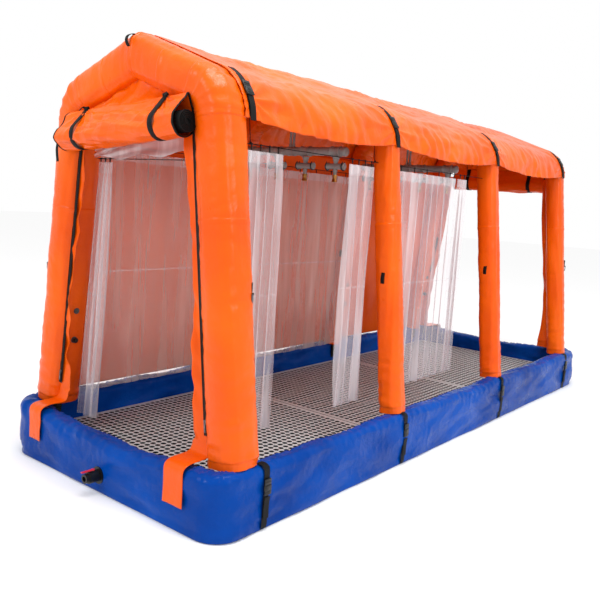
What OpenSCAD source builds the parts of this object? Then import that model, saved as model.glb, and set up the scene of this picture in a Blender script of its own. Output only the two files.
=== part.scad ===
// Inflatable emergency decontamination shower tunnel.
// Four air-filled arches stand on a soft-walled catch basin with a grated deck, carry a roof fly,
// door ends, clear curtains and two overhead spray headers.
// Frame: origin on the ground under the middle of the basin, +Z up, front door towards -Y,
// length along Y, right-hand side at +X. All sizes are in millimetres.

/* [Overall] */
// Outside length of the basin, front to back
basin_l = 5500; // [5000:50:6600]
// Outside width of the basin
basin_w = 2000; // [1900:10:2400]
// Height of the roof ridge above the ground
ridge_h = 2700; // [2600:10:3240]

/* [Basin] */
// Height of the basin's walls
wall_h = 370; // [310:5:445]
// Thickness of the basin's walls
wall_t = 130; // [108:1:156]
// Outside radius of the basin's corners
corner_r = 170; // [160:5:250]
// Thickness of the ground sheet
floor_t = 8; // [5:1:12]

/* [Deck] */
// Height of the deck's walking surface above the ground
deck_h = 170; // [140:5:210]
// Depth of the moulded grating
grating_t = 38; // [30:1:50]
// Gap between grating panels, and between a panel and the wall
panel_gap = 8; // [5:1:20]
// Width of the bearers under the deck
bearer_w = 60; // [40:5:100]

/* [Arches] */
// Diameter of the front arch's tube
front_tube_d = 250; // [210:5:290]
// Diameter of the other three arches' tubes
tube_d = 170; // [140:5:205]
// Distance of the legs' outer face inside the basin's outer side, at the wall's top
leg_inset = 25; // [10:1:60]
// Lean of the legs towards the middle, degrees
leg_lean = 6.8; // [4:0.1:8.5]
// Slope of the roof, degrees
roof_pitch = 20; // [17:0.5:24]
// Outside radius of the shoulders
shoulder_r = 320; // [290:5:385]
// Front arch's centre behind the basin's front face
front_setback = 255; // [250:5:300]
// Rear arch's centre ahead of the basin's rear face
rear_setback = 380; // [300:5:460]
// Distance between the first two arches' centres
front_bay = 1565; // [1450:5:1880]

/* [Fabric] */
// Thickness given to coated fabric sheets
sheet_t = 5; // [3:0.5:6]
// Air gap between a sheet and the tube that carries it
sheet_gap = 1; // [0.5:0.1:3]
// Height of the fly's lower edge at the legs
fly_edge_h = 2215; // [2150:5:2300]
// Distance of the fly's end edges behind the centre of the arch that carries them
fly_inset = 55; // [30:1:70]
// Height of the door opening's top edge
door_h = 2120; // [2060:5:2200]
// Radius of the rolled-up doors
roll_r = 82; // [70:1:86]
// Height of the rolled-up doors' centre
roll_h = 2135; // [2120:5:2150]
// Length of the rolled-up doors
roll_l = 1080; // [900:10:1085]
// Droop of the rolled-up front door towards the left, degrees
roll_droop = 4; // [0:0.5:5]
// Height of the jamb strips' upper edge
jamb_top_h = 2190; // [2150:5:2200]
// Width of the door jamb strips
jamb_w = 86; // [60:1:100]
// Width of the zip tape
zip_w = 34; // [24:1:40]
// How far the jamb strips hang below the wall's top
tail_drop = 215; // [100:5:230]

/* [Curtains] */
// Distance of the side curtains from the middle of the tent
curtain_x = 670; // [600:5:680]
// Thickness of a hanging curtain's folds
fold_t = 56; // [30:1:60]
// Height of the line that the curtains hang from
line_h = 2092; // [2050:1:2100]
// Height of the curtains' lower edge
curtain_foot_h = 420; // [360:5:450]

/* [Plumbing] */
// Outside diameter of the headers
header_d = 60; // [48:1:65]
// Height of the headers' axis
header_h = 2155; // [2140:5:2170]
// Length of the headers between end caps
header_l = 940; // [900:10:960]
// Distance of each header ahead of the arch behind it
header_setback = 220; // [180:5:300]
// Distance between the spray heads
head_pitch = 270; // [250:5:280]
// Outside diameter of the drop pipes
drop_d = 32; // [25:1:34]
// Height of the spray heads' lower edge
head_h = 1945; // [1935:1:1955]
// Outside radius of the spray heads
head_r = 20; // [17:0.5:22]
// Height of the supply pipe under the ridge
supply_h = 2390; // [2370:5:2400]
// Outside diameter of the supply pipe
supply_d = 42; // [32:1:50]
// Radius of the water inlet's bore
inlet_bore_r = 16; // [12:0.5:17]

/* [Drain] */
// Height of the drain's axis
drain_h = 112; // [90:1:130]
// Outside radius of the outlet spigot
outlet_r = 28; // [24:0.5:30]
// Radius of the water way through the valve
drain_bore_r = 16; // [12:0.5:18]
// Radius of the valve's ball
drain_ball_r = 24; // [22:0.5:25]

/* [Webbing] */
// Width of the straps
webbing_w = 45; // [35:1:50]
// Thickness of the straps
webbing_t = 3; // [2:0.5:4]
// Radius of the rings' wire
wire_r = 3.5; // [3:0.1:4]
// Inside radius of the rings' bow
ring_r = 20; // [15:1:24]
// Turn of the rings round their leg, away from the tent's side, degrees
ring_turn = 38; // [0:1:45]
// Height of the rings' hinge line
ring_h = 1290; // [900:10:1500]

/* [Hidden] */

$fn = 48;
cut = 1;                     // how far a cutting shape runs past the face it cuts
fit = 0.06;                  // radial clearance of a running fit
clear = 1;                   // gap between pieces that only lie near each other
half_l = basin_l / 2;
inner_w = basin_w - 2 * wall_t;
inner_l = basin_l - 2 * wall_t;
deck_base_h = deck_h - grating_t;

// Arch outline in the X-Z plane: the leg's outer face and the roof's outer face meet at outer_corner.
base_x = basin_w / 2 - leg_inset;
fly_rise = (sheet_gap + sheet_t) / cos(roof_pitch);
apex_h = ridge_h - fly_rise;
leg_n = [cos(leg_lean), sin(leg_lean)];
roof_n = [sin(roof_pitch), cos(roof_pitch)];
leg_k = leg_n * [base_x, wall_h];
roof_k = roof_n * [0, apex_h];
outline_det = leg_n[0] * roof_n[1] - leg_n[1] * roof_n[0];
outer_corner = [leg_k * roof_n[1] - roof_k * leg_n[1], leg_n[0] * roof_k - roof_n[0] * leg_k] / outline_det;
shoulder_c = outer_corner - shoulder_r * (leg_n + roof_n) / (1 + leg_n * roof_n);
shoulder_turn = 90 - roof_pitch - leg_lean;
shoulder_steps = 8;
shoulder_step = shoulder_turn / shoulder_steps;

first_y = -half_l + front_setback;
last_y = half_l - rear_setback;
second_y = first_y + front_bay;
third_y = (second_y + last_y) / 2;
arch_y = [first_y, second_y, third_y, last_y];
arch_d = [front_tube_d, tube_d, tube_d, tube_d];
header_y = [second_y - header_setback, third_y - header_setback];
head_x = [-1.5, -0.5, 0.5, 1.5] * head_pitch;

// x of the legs' outer face at height z, and of a line moved outwards from it by off
function leg_x(z, off = 0) = base_x - (z - wall_h) * tan(leg_lean) + off / cos(leg_lean);
// half depth of a tube of diameter d, measured along Y, where the surface lies inset below its outer face
function chord(d, inset) = sqrt(pow(d / 2, 2) - pow(d / 2 - inset, 2));
// right half of the arch outline moved outwards by off, from height z up to the ridge;
// around is the factor that keeps the shoulder's corners outside or inside the true arc
function half_outline(z, off, around) = concat(
    [[leg_x(z, off), z]],
    [for (i = [0 : shoulder_steps - 1])
        shoulder_c + (shoulder_r + off) * around
            * [cos(leg_lean + (i + 0.5) * shoulder_step), sin(leg_lean + (i + 0.5) * shoulder_step)]],
    [[0, apex_h + off / cos(roof_pitch)]]);
function flip(points) = [for (i = [len(points) - 1 : -1 : 0]) [-points[i][0], points[i][1]]];
function full_outline(z, off, around) =
    let (right = half_outline(z, off, around), left = flip(right))
    concat(right, [for (i = [1 : len(left) - 1]) left[i]]);
function backwards(points) = [for (i = [len(points) - 1 : -1 : 0]) points[i]];

// ---- shapes used by several parts ----

module both_sides() {
    children();
    mirror([1, 0, 0]) children();
}

// a plate of the X-Z outline given by its children, from y to y + depth
module upright(y, depth) {
    translate([0, y + depth, 0]) rotate([90, 0, 0]) linear_extrude(depth) children();
}

module rounded_rect(w, l, r) {
    square([w - 2 * r, l], center = true);
    square([w, l - 2 * r], center = true);
    for (sx = [-1, 1], sy = [-1, 1])
        translate([sx * (w / 2 - r), sy * (l / 2 - r)]) circle(r);
}

// puts its children on a right-hand leg: their z axis runs up the leg from the wall's top
module on_leg(y, inset = 0) {
    translate([base_x - inset / cos(leg_lean), y, wall_h]) rotate([0, -leg_lean, 0]) children();
}

// ---- basin and deck ----

module basin_tub() {
    color("royalblue") difference() {
        linear_extrude(wall_h) rounded_rect(basin_w, basin_l, corner_r);
        translate([0, 0, floor_t])
            linear_extrude(wall_h) rounded_rect(inner_w, inner_l, corner_r - wall_t);
        translate([0, -half_l - cut, drain_h]) rotate([-90, 0, 0])
            cylinder(r = outlet_r + clear, h = wall_t + 2 * cut);
    }
}

bearer_x = inner_w / 2 - corner_r + wall_t - bearer_w;

module deck_bearers() {
    bearer_l = inner_l - 4 * panel_gap;
    color("gray") for (i = [-1, 0, 1])
        translate([i * bearer_x - bearer_w / 2, -bearer_l / 2, floor_t])
            cube([bearer_w, bearer_l, deck_base_h - floor_t]);
}

panel_count = 3;
panel_l = (inner_l - (panel_count + 1) * panel_gap) / panel_count;
panel_w = inner_w - 2 * panel_gap;
rim_w = 45;
slot_w = 30;
slot_bar_w = 120;
deck_corner = corner_r - wall_t;

// one lift-out panel: a rim and cross bars with slots between them
module grating_panel(index) {
    y0 = -inner_l / 2 + panel_gap + index * (panel_l + panel_gap);
    slots = floor((panel_l - 2 * rim_w) / (slot_w + slot_bar_w));
    pitch = (panel_l - 2 * rim_w) / slots;
    color("lightgray") difference() {
        translate([-panel_w / 2, y0, deck_base_h]) cube([panel_w, panel_l, grating_t]);
        for (i = [0 : slots - 1], sx = [-1, 1])
            translate([sx * panel_w / 4 - (panel_w / 2 - 2 * rim_w) / 2,
                       y0 + rim_w + (i + 0.5) * pitch - slot_w / 2, deck_base_h - cut])
                cube([panel_w / 2 - 2 * rim_w, slot_w, grating_t + 2 * cut]);
        for (sx = [-1, 1], sy = [-half_l + wall_t, half_l - wall_t])
            translate([sx * inner_w / 2 - deck_corner, sy - deck_corner, deck_base_h - cut])
                cube([2 * deck_corner, 2 * deck_corner, grating_t + 2 * cut]);
    }
}

module grating_front() { grating_panel(0); }
module grating_middle() { grating_panel(1); }
module grating_rear() { grating_panel(2); }

// ---- drain valve in the front wall ----

flange_r = 52;
flange_t = 8;
seal_t = 3;
valve_l = 66;
valve_r = 36;
spigot_l = 26;
stem_r = 6;
stem_h = 34;
lever_l = 78;
lever_w = 18;
lever_t = 5;
flange_y = -half_l - seal_t - flange_t;
valve_y = flange_y - valve_l;
ball_y = flange_y - valve_l / 2;
ball_gap = 0.08;

neck_l = flange_t + seal_t + wall_t + 5;   // the flange's neck stands 5 mm out inside the wall

// a ring or cylinder along Y, from y towards +Y
module along_y(y, r, l) {
    translate([0, y, drain_h]) rotate([-90, 0, 0]) cylinder(r = r, h = l);
}

module drain_flange() {
    color("black") difference() {
        union() {
            along_y(flange_y, flange_r, flange_t);
            along_y(flange_y, outlet_r, neck_l);
        }
        along_y(flange_y - cut, drain_bore_r, neck_l + 2 * cut);
    }
}

module drain_seal() {
    color("dimgray") difference() {
        along_y(-half_l - seal_t, flange_r - 4, seal_t);
        along_y(-half_l - seal_t - cut, outlet_r, seal_t + 2 * cut);
    }
}

module drain_valve_body() {
    color("black") difference() {
        union() {
            along_y(valve_y, valve_r, valve_l);
            along_y(valve_y - spigot_l, outlet_r, spigot_l);
            translate([0, ball_y, drain_h]) cylinder(r = stem_r + 6, h = stem_h + 6);
        }
        along_y(valve_y - spigot_l - cut, drain_bore_r, valve_l + spigot_l + 2 * cut);
        translate([0, ball_y, drain_h]) sphere(drain_ball_r + ball_gap);
        translate([0, ball_y, drain_h]) cylinder(r = stem_r + fit, h = stem_h + 6 + cut);
    }
}

stem_foot = drain_h + drain_bore_r + 2;

module drain_ball() {
    color("silver") difference() {
        translate([0, ball_y, drain_h]) sphere(drain_ball_r);
        translate([0, ball_y, stem_foot]) cylinder(r = stem_r + ball_gap / 4, h = drain_ball_r);
        along_y(ball_y - drain_ball_r - cut, drain_bore_r, 2 * (drain_ball_r + cut));
    }
}

module drain_lever() {
    lever_h = drain_h + stem_h + 6 + clear;
    color("red") {
        translate([0, ball_y, stem_foot]) cylinder(r = stem_r, h = lever_h - stem_foot);
        translate([0, ball_y, lever_h]) cylinder(r = stem_r + 6, h = lever_t);
        translate([-lever_w / 2, ball_y - lever_l, lever_h]) cube([lever_w, lever_l, lever_t]);
    }
}

// ---- inflatable arches ----

seam = 0.02;                               // parting at the welded seams between a tube's lengths

// one side of an arch: a leg, a bent shoulder and a rafter, cut flat on the wall and at the ridge
module half_arch(y, d) {
    r = d / 2;
    bend_r = shoulder_r - r;
    top = shoulder_c + bend_r * roof_n;
    foot = shoulder_c + bend_r * leg_n;
    leg_run = (foot[1] - wall_h) / cos(leg_lean) + d;
    rafter_run = top[0] / cos(roof_pitch) + d;
    difference() {
        translate([foot[0], y, foot[1]]) rotate([0, 180 - leg_lean, 0]) translate([0, 0, seam])
            cylinder(r = r, h = leg_run);
        translate([0, y - d, wall_h - 2 * d]) cube([2 * basin_w, 2 * d, 2 * d + clear / 2]);
    }
    translate([shoulder_c[0], y, shoulder_c[1]]) rotate([90, 0, 0]) rotate([0, 0, leg_lean])
        rotate_extrude(angle = shoulder_turn) translate([bend_r, 0]) circle(r);
    difference() {
        translate([top[0], y, top[1]]) rotate([0, roof_pitch - 90, 0]) translate([0, 0, seam])
            cylinder(r = r, h = rafter_run);
        translate([seam / 2 - basin_w, y - d, 0]) cube([basin_w, 2 * d, 2 * ridge_h]);
    }
}

module arch(index) {
    color("darkorange") both_sides() half_arch(arch_y[index], arch_d[index]);
}

module front_arch() { arch(0); }
module second_arch() { arch(1); }
module third_arch() { arch(2); }
module rear_arch() { arch(3); }

// valves stand on the inner side of the left-hand legs
valve_up = 420;
relief_up = 620;
valve_base_r = 22;
valve_l_out = 16;

module on_left_leg_inside(index, up) {
    mirror([1, 0, 0]) on_leg(arch_y[index], arch_d[index] + clear)
        translate([0, 0, up]) rotate([0, -90, 0]) children();
}

// an inflation valve and, above it, a relief valve on each arch
module inflation_valves() {
    color("dimgray") for (i = [0 : 3]) {
        on_left_leg_inside(i, valve_up) difference() {
            union() {
                cylinder(r = valve_base_r, h = 4);
                cylinder(r = valve_base_r - 7, h = valve_l_out);
            }
            translate([0, 0, 6]) cylinder(r = valve_base_r - 11, h = valve_l_out);
        }
        on_left_leg_inside(i, relief_up) {
            cylinder(r = valve_base_r - 2, h = 4);
            cylinder(r = valve_base_r - 10, h = 11);
        }
    }
}

module valve_caps() {
    color("black") for (i = [0 : 3]) on_left_leg_inside(i, valve_up)
        translate([0, 0, valve_l_out]) cylinder(r = valve_base_r - 5, h = 9);
}

// ---- webbing straps and buckles ----

strap_y = [first_y + 105, second_y, third_y, last_y - 20];
buckle_w = webbing_w + 14;
buckle_l = 96;
buckle_t = 14;

inner_strap_l = 175;

// straps down the outside and the inside of the basin's long walls, one pair at each leg
module basin_straps() {
    color("black") both_sides() for (i = [0 : 3]) {
        translate([basin_w / 2 + clear, strap_y[i] - webbing_w / 2, clear])
            cube([webbing_t, webbing_w, wall_h + 2]);
        translate([basin_w / 2 - 14, strap_y[i] - webbing_w / 2, wall_h + clear])
            cube([14 + clear + webbing_t, webbing_w, webbing_t]);
        translate([inner_w / 2 - clear - webbing_t, arch_y[i] - webbing_w / 2, wall_h - inner_strap_l])
            cube([webbing_t, webbing_w, inner_strap_l - clear]);
    }
}

module basin_buckles() {
    color("black") both_sides() for (y = strap_y)
        translate([basin_w / 2 + 2 * clear + webbing_t, y - buckle_w / 2, wall_h - buckle_l - 70])
            cube([buckle_t, buckle_w, buckle_l]);
}

around_out = 1 / cos(shoulder_step / 2);   // keeps a faceted shoulder outside the true arc
fly_out = sheet_gap + sheet_t + clear;
fly_strap_foot_h = fly_edge_h - 32;
fly_strap_top_h = shoulder_c[1] + 0.64 * shoulder_r;
fly_buckle_turn = leg_lean + 10;

// straps that follow the fly round the shoulders
module fly_straps() {
    outer = full_outline(fly_strap_foot_h, fly_out + webbing_t, around_out);
    inner = full_outline(fly_strap_foot_h, fly_out, around_out);
    color("black") both_sides() for (y = strap_y) intersection() {
        upright(y - webbing_w / 2, webbing_w) polygon(concat(outer, backwards(inner)));
        translate([0, y - webbing_w, 0]) cube([basin_w, 2 * webbing_w, fly_strap_top_h]);
    }
}

module fly_buckles() {
    color("black") both_sides() for (y = strap_y)
        translate([shoulder_c[0], y, shoulder_c[1]]) rotate([0, -fly_buckle_turn, 0])
            translate([shoulder_r + fly_out + webbing_t + clear, -buckle_w / 2, -buckle_l / 2])
                cube([buckle_t, buckle_w, buckle_l]);
}

// ---- roof fly, gables, rolled doors ----

fly_front_y = first_y + fly_inset;
fly_rear_y = last_y + fly_inset;

module roof_fly() {
    outer = full_outline(fly_edge_h, sheet_gap + sheet_t, around_out);
    inner = full_outline(fly_edge_h, sheet_gap, around_out);
    color("orange") upright(fly_front_y, fly_rear_y - fly_front_y)
        polygon(concat(outer, backwards(inner)));
}

// a gable panel between one arch's rafters, set off the tube's middle towards the tent's end
module gable(index, off) {
    upright(arch_y[index] + off - sheet_t / 2, sheet_t)
        polygon(full_outline(door_h, -jamb_inset(arch_d[index], abs(off)), 1));
}

rear_gable_off = 0.15 * tube_d;

module front_gable() { color("orangered") gable(0, -front_tube_d / 5); }

module rear_gable() {
    color("orangered") difference() {
        gable(3, rear_gable_off);
        translate([0, last_y + rear_gable_off - sheet_t, supply_h]) rotate([-90, 0, 0])
            cylinder(r = supply_d / 2 + clear, h = 2 * sheet_t);
    }
}

front_roll_y = -half_l + roll_r + 3;
rear_roll_y = last_y + tube_d / 2 + roll_r - 24;

core_r = roll_r - 22;                      // the rolled door inside the flap that wraps it
core_out = 30;                             // how far its ends stand out of the flap
flap_rise = 150;                           // the flap's upper edge above the roll's middle
flap_back = 32;                            // and behind it, towards the tent

// section across a rolled door: a round roll in a flap that comes down from the arch
module roll_section(way, off) {
    hull() {
        circle(r = roll_r + off);
        translate([way * flap_back, flap_rise]) circle(r = 4 + off);
    }
}

// draws its 2D children, a section in the Y-Z plane, from x to x + w
module along_x(x, w) {
    translate([x, 0, 0]) rotate([90, 0, 90]) linear_extrude(w) children();
}

// the frames of the two rolls, with way pointing towards the tent
module at_front_roll() { translate([0, front_roll_y, roll_h]) rotate([0, -roll_droop, 0]) children(); }
module at_rear_roll() { translate([0, rear_roll_y, roll_h]) children(); }

module door_roll(way) {
    color("orange") difference() {
        union() {
            along_x(-roll_l / 2, roll_l) roll_section(way, 0);
            along_x(-roll_l / 2 - core_out, roll_l + 2 * core_out) circle(r = core_r);
        }
        along_x(-roll_l / 2 - core_out - cut, roll_l + 2 * (core_out + cut)) circle(r = roll_r / 5);
    }
}

module front_door_roll() { at_front_roll() door_roll(1); }
module rear_door_roll() { at_rear_roll() door_roll(-1); }

roll_strap_x = 360;

module roll_strap_pair(way) {
    color("black") both_sides() along_x(roll_strap_x - webbing_w / 2, webbing_w) difference() {
        roll_section(way, clear + webbing_t);
        roll_section(way, clear);
    }
}

module roll_straps() {
    at_front_roll() roll_strap_pair(1);
    at_rear_roll() roll_strap_pair(-1);
}

// ---- door jambs, zips and their sliders ----

jamb_y = first_y - 66;                     // middle plane of the front jamb strips
rear_jamb_y = last_y + 40;
jamb_top = jamb_top_h - wall_h;            // measured up from the wall's top
tail_y = -half_l - clear - sheet_t;
rear_tail_y = half_l + clear;

// edge of a strip beside a leg of diameter d, on the plane that lies off the tube's middle
function jamb_inset(d, off) = d / 2 + sqrt(pow(d / 2, 2) - pow(off, 2)) + 2 * clear;
front_jamb_inset = jamb_inset(front_tube_d, first_y - jamb_y);
rear_jamb_inset = jamb_inset(tube_d, rear_jamb_y - last_y);

// a strip that hangs beside the leg, runs out over the wall's top and hangs down outside
module jamb_strip(y, tail, inset) {
    half = sheet_t / 2;
    over = wall_h + 40;
    step = tail > y ? 1 : -1;
    side = [[y - half * step, jamb_top + wall_h], [y - half * step, over + 60],
            [tail - half * step, over - 8], [tail - half * step, wall_h - tail_drop],
            [tail + half * step, wall_h - tail_drop], [tail + half * step, over],
            [y + half * step, over + 68], [y + half * step, jamb_top + wall_h]];
    intersection() {
        on_leg(0, inset + jamb_w)
            translate([0, -basin_l, -wall_h]) cube([jamb_w, 2 * basin_l, 2 * ridge_h]);
        rotate([90, 0, 90]) linear_extrude(basin_w) polygon(side);
    }
}

module front_jambs() {
    color("orangered") both_sides() jamb_strip(jamb_y, tail_y + sheet_t / 2, front_jamb_inset);
}

module rear_jambs() {
    color("orangered") both_sides() jamb_strip(rear_jamb_y, rear_tail_y + sheet_t / 2, rear_jamb_inset);
}

zip_t = 4;
zip_foot = 130;                            // start of the zips, up the leg from the wall's top
zip_l = jamb_top - zip_foot - 20;

module zip_tape(y, inset) {
    on_leg(y, inset + zip_w) translate([0, 0, zip_foot]) cube([zip_w, zip_t, zip_l]);
}

front_zip_y = jamb_y - sheet_t / 2 - clear - zip_t;
rear_zip_y = rear_jamb_y + sheet_t / 2 + clear;

module door_zips() {
    color("black") both_sides() {
        zip_tape(front_zip_y, front_jamb_inset);
        zip_tape(rear_zip_y, rear_jamb_inset);
    }
}

slider_w = 20;
slider_t = 9;
slider_l = 30;
puller_l = 46;
slider_up = zip_foot + 60;

// body and hanging puller of one slider; out is the way that the zip faces along Y
module slider(y, inset, out) {
    face = out > 0 ? y : y - slider_t;
    color("dimgray") on_leg(0, inset + zip_w / 2) translate([0, 0, slider_up]) {
        translate([-slider_w / 2, face, 0]) cube([slider_w, slider_t, slider_l]);
        translate([-slider_w / 4, out > 0 ? y + slider_t - 3 : y - slider_t, -puller_l])
            cube([slider_w / 2, 3, puller_l]);
    }
}

module front_slider() { slider(front_zip_y - clear / 2, front_jamb_inset, -1); }
module rear_slider() { slider(rear_zip_y + zip_t + clear / 2, rear_jamb_inset, 1); }

module slider_front_right() { front_slider(); }
module slider_front_left() { mirror([1, 0, 0]) front_slider(); }
module slider_rear_right() { rear_slider(); }
module slider_rear_left() { mirror([1, 0, 0]) rear_slider(); }

// ---- side panels and curtains ----

panel_inset = 22;                          // depth of the side panels behind the legs' outer face
panel_rise = (fly_edge_h + 6 - wall_h) / cos(leg_lean);

module left_panels() {
    color("orangered") mirror([1, 0, 0]) for (i = [0 : 2]) {
        y0 = arch_y[i] + chord(arch_d[i], panel_inset + sheet_t) + 2 * clear;
        y1 = arch_y[i + 1] - chord(arch_d[i + 1], panel_inset + sheet_t) - 2 * clear;
        on_leg(y0, panel_inset + sheet_t) translate([0, 0, clear]) cube([sheet_t, y1 - y0, panel_rise]);
    }
}

line_r = 2.5;
hook_gap = 0.5;
curtain_top_h = line_h - 34;

// a hanging curtain along Y: a slab with two faces pinched in by its folds
module hanging(x, y0, y1, foot = curtain_foot_h) {
    translate([x - fold_t / 2, y0, foot]) cube([fold_t, y1 - y0, curtain_top_h - foot]);
}

// small hooks over the line, one every so often
module hook_row(x, y0, y1, count) {
    for (i = [0 : count - 1])
        translate([x, y0 + (i + 0.5) * (y1 - y0) / count, line_h]) rotate([90, 0, 0]) difference() {
            union() {
                cylinder(r = line_r + 4, h = 6, center = true);
                translate([-3, curtain_top_h + clear - line_h, -3])
                    cube([6, line_h - curtain_top_h - clear, 6]);
            }
            cylinder(r = line_r + hook_gap, h = 6 + 2 * cut, center = true);
        }
}

bay1_y0 = first_y + front_tube_d / 2;      // clear stretch of each bay
bay1_y1 = second_y - tube_d / 2;
bay2_y0 = second_y + tube_d / 2;
bay2_y1 = third_y - tube_d / 2;
gather_w = 300;                            // width of a curtain drawn aside
middle_open_w = 940;                       // width of the drawn-out curtain in the second bay
middle_gather_w = 150;
curtain_end = 45;                          // room between a curtain and the leg beside it

module right_curtain_front() {
    color("lavender") hanging(curtain_x, bay1_y0 + curtain_end, bay1_y0 + curtain_end + gather_w);
}
module right_curtain_back() {
    color("lavender") hanging(curtain_x, bay1_y1 - curtain_end - gather_w, bay1_y1 - curtain_end);
}
middle_y0 = bay2_y0 + curtain_end;
module middle_curtains() {
    color("lavender") {
        hanging(curtain_x, middle_y0, middle_y0 + middle_open_w);
        hanging(curtain_x, middle_y0 + middle_open_w + curtain_end,
                middle_y0 + middle_open_w + curtain_end + middle_gather_w);
    }
}
module left_curtain() {
    color("lavender") {
        hanging(-curtain_x, bay1_y0 + curtain_end, bay1_y1 - curtain_end);
        hanging(-curtain_x, bay2_y0 + curtain_end, bay2_y1 - curtain_end);
    }
}

module right_front_hooks() {
    color("black") hook_row(curtain_x, bay1_y0 + curtain_end, bay1_y0 + curtain_end + gather_w, 4);
}
module right_back_hooks() {
    color("black") hook_row(curtain_x, bay1_y1 - curtain_end - gather_w, bay1_y1 - curtain_end, 4);
}
module middle_hooks() {
    color("black") {
        hook_row(curtain_x, middle_y0, middle_y0 + middle_open_w, 5);
        hook_row(curtain_x, middle_y0 + middle_open_w + curtain_end,
                 middle_y0 + middle_open_w + curtain_end + middle_gather_w, 2);
    }
}
module left_hooks() {
    color("black") {
        hook_row(-curtain_x, bay1_y0 + curtain_end, bay1_y1 - curtain_end, 6);
        hook_row(-curtain_x, bay2_y0 + curtain_end, bay2_y1 - curtain_end, 6);
    }
}

// the door curtain hangs from a cross line behind the front gable
door_line_y = first_y + 62;
door_line_h = 1988;
door_line_x = leg_x(door_line_h, -jamb_inset(front_tube_d, door_line_y - first_y));
door_curtain_w = 150;
door_curtain_t = 60;
door_curtain_x = -leg_x(door_line_h, -jamb_inset(front_tube_d, door_line_y - first_y - door_curtain_t / 2)) + 5;
door_curtain_foot_w = 240;                 // the folds spread towards the foot
door_curtain_foot_h = 262;
door_hook_l = 24;

// gathered against the left leg and leaning like it
module front_curtain() {
    top = door_line_h - door_hook_l;
    foot_x = door_curtain_x - (top - door_curtain_foot_h) * tan(leg_lean);
    color("lavender") upright(door_line_y - door_curtain_t / 2, door_curtain_t) polygon([
        [door_curtain_x, top], [door_curtain_x + door_curtain_w, top],
        [foot_x + door_curtain_foot_w, door_curtain_foot_h], [foot_x, door_curtain_foot_h]]);
}

module front_curtain_hooks() {
    color("black") for (i = [0 : 2])
        translate([door_curtain_x + (i + 0.5) * (door_curtain_w - 6) / 3, door_line_y, door_line_h]) {
            rotate([0, 90, 0]) difference() {
                cylinder(r = line_r + 4, h = 6, center = true);
                cylinder(r = line_r + hook_gap, h = 6 + 2 * cut, center = true);
            }
            translate([-3, -3, clear - door_hook_l]) cube([6, 6, door_hook_l - clear - line_r - 2]);
        }
}

module line_y(x, y0, y1) {
    translate([x, y0 + clear, line_h]) rotate([-90, 0, 0]) cylinder(r = line_r, h = y1 - y0 - 2 * clear);
}

module curtain_lines() {
    color("black") {
        line_y(curtain_x, bay1_y0, bay1_y1);
        line_y(curtain_x, bay2_y0, bay2_y1);
        line_y(-curtain_x, bay1_y0, bay1_y1);
        line_y(-curtain_x, bay2_y0, bay2_y1);
        translate([-door_line_x, door_line_y, door_line_h]) rotate([0, 90, 0])
            cylinder(r = line_r, h = 2 * door_line_x);
    }
}

// ---- spray headers ----

tee_d = header_d + 14;
tee_l = 84;
cap_l = 30;
reducer_d = drop_d + 14;
reducer_l = 34;
head_l = 50;
socket_l = 20;                             // how far a spray head is screwed on to its pipe
arm_h = head_h + 108;
arm_l = 156;
arm_d = drop_d + 14;
stub_d = drop_d - 6;

module header(index) {
    color("slategray") translate([0, header_y[index], header_h]) rotate([0, 90, 0]) {
        cylinder(d = header_d, h = header_l, center = true);
        for (x = head_x) translate([0, 0, x]) cylinder(d = tee_d, h = tee_l, center = true);
        for (s = [-1, 1]) translate([0, 0, s * (header_l / 2 + cap_l / 2 - 2)])
            cylinder(d = header_d + 8, h = cap_l, center = true);
    }
}

module header_front() { header(0); }
module header_rear() { header(1); }

// one drop: reducer under the tee, cross arm, and a stub pipe for the spray head
module drop(x, y) {
    top = header_h - tee_d / 2 - clear / 4;
    stub_foot = head_h + head_l - socket_l + clear / 4;
    translate([x, y, 0]) {
        translate([0, 0, top - reducer_l]) cylinder(d = reducer_d, h = reducer_l);
        translate([0, 0, stub_foot]) cylinder(d = stub_d, h = top - reducer_l - stub_foot);
        translate([0, 0, arm_h]) rotate([0, 90, 0]) cylinder(d = arm_d, h = arm_l, center = true);
    }
}

module drops(index) {
    color("slategray") for (x = head_x) drop(x, header_y[index]);
}

module drops_front() { drops(0); }
module drops_rear() { drops(1); }

module nozzles(index) {
    color("goldenrod") for (x = head_x) translate([x, header_y[index], head_h]) difference() {
        cylinder(r = head_r, h = head_l);
        translate([0, 0, head_l - socket_l]) cylinder(r = stub_d / 2 + fit, h = socket_l + cut);
        translate([0, 0, -cut]) cylinder(r = head_r - 6, h = 14 + cut);
    }
}

module nozzles_front() { nozzles(0); }
module nozzles_rear() { nozzles(1); }

clip_r = arm_d / 2 + 8;

// open ring clips near both ends of every cross arm
module pipe_clips() {
    color("black") for (y = header_y, x = head_x, s = [-1, 1])
        translate([x + s * (arm_l / 2 - 10), y, arm_h]) rotate([0, 90, 0]) difference() {
            cylinder(r = clip_r, h = 8, center = true);
            cylinder(r = arm_d / 2 + clear / 2, h = 8 + 2 * cut, center = true);
            translate([-clip_r - cut, -6, -5]) cube([clip_r, 12, 10]);
        }
}

riser_d = 20;
riser_x = 15;

// twin risers that hang each header from the supply pipe and feed it
module header_risers() {
    foot = header_h + header_d / 2 + clear / 4;
    head = supply_h - supply_d / 2 - 7 - clear / 4;
    color("gray") for (y = header_y) {
        for (s = [-1, 1]) translate([s * riser_x, y, foot]) cylinder(d = riser_d, h = head - foot);
        translate([-riser_x - 14, y - 13, head - 22]) cube([2 * (riser_x + 14), 26, 14]);
    }
}

supply_front_y = header_y[0] - 60;
supply_rear_y = last_y + 150;
inlet_l = 60;

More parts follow.
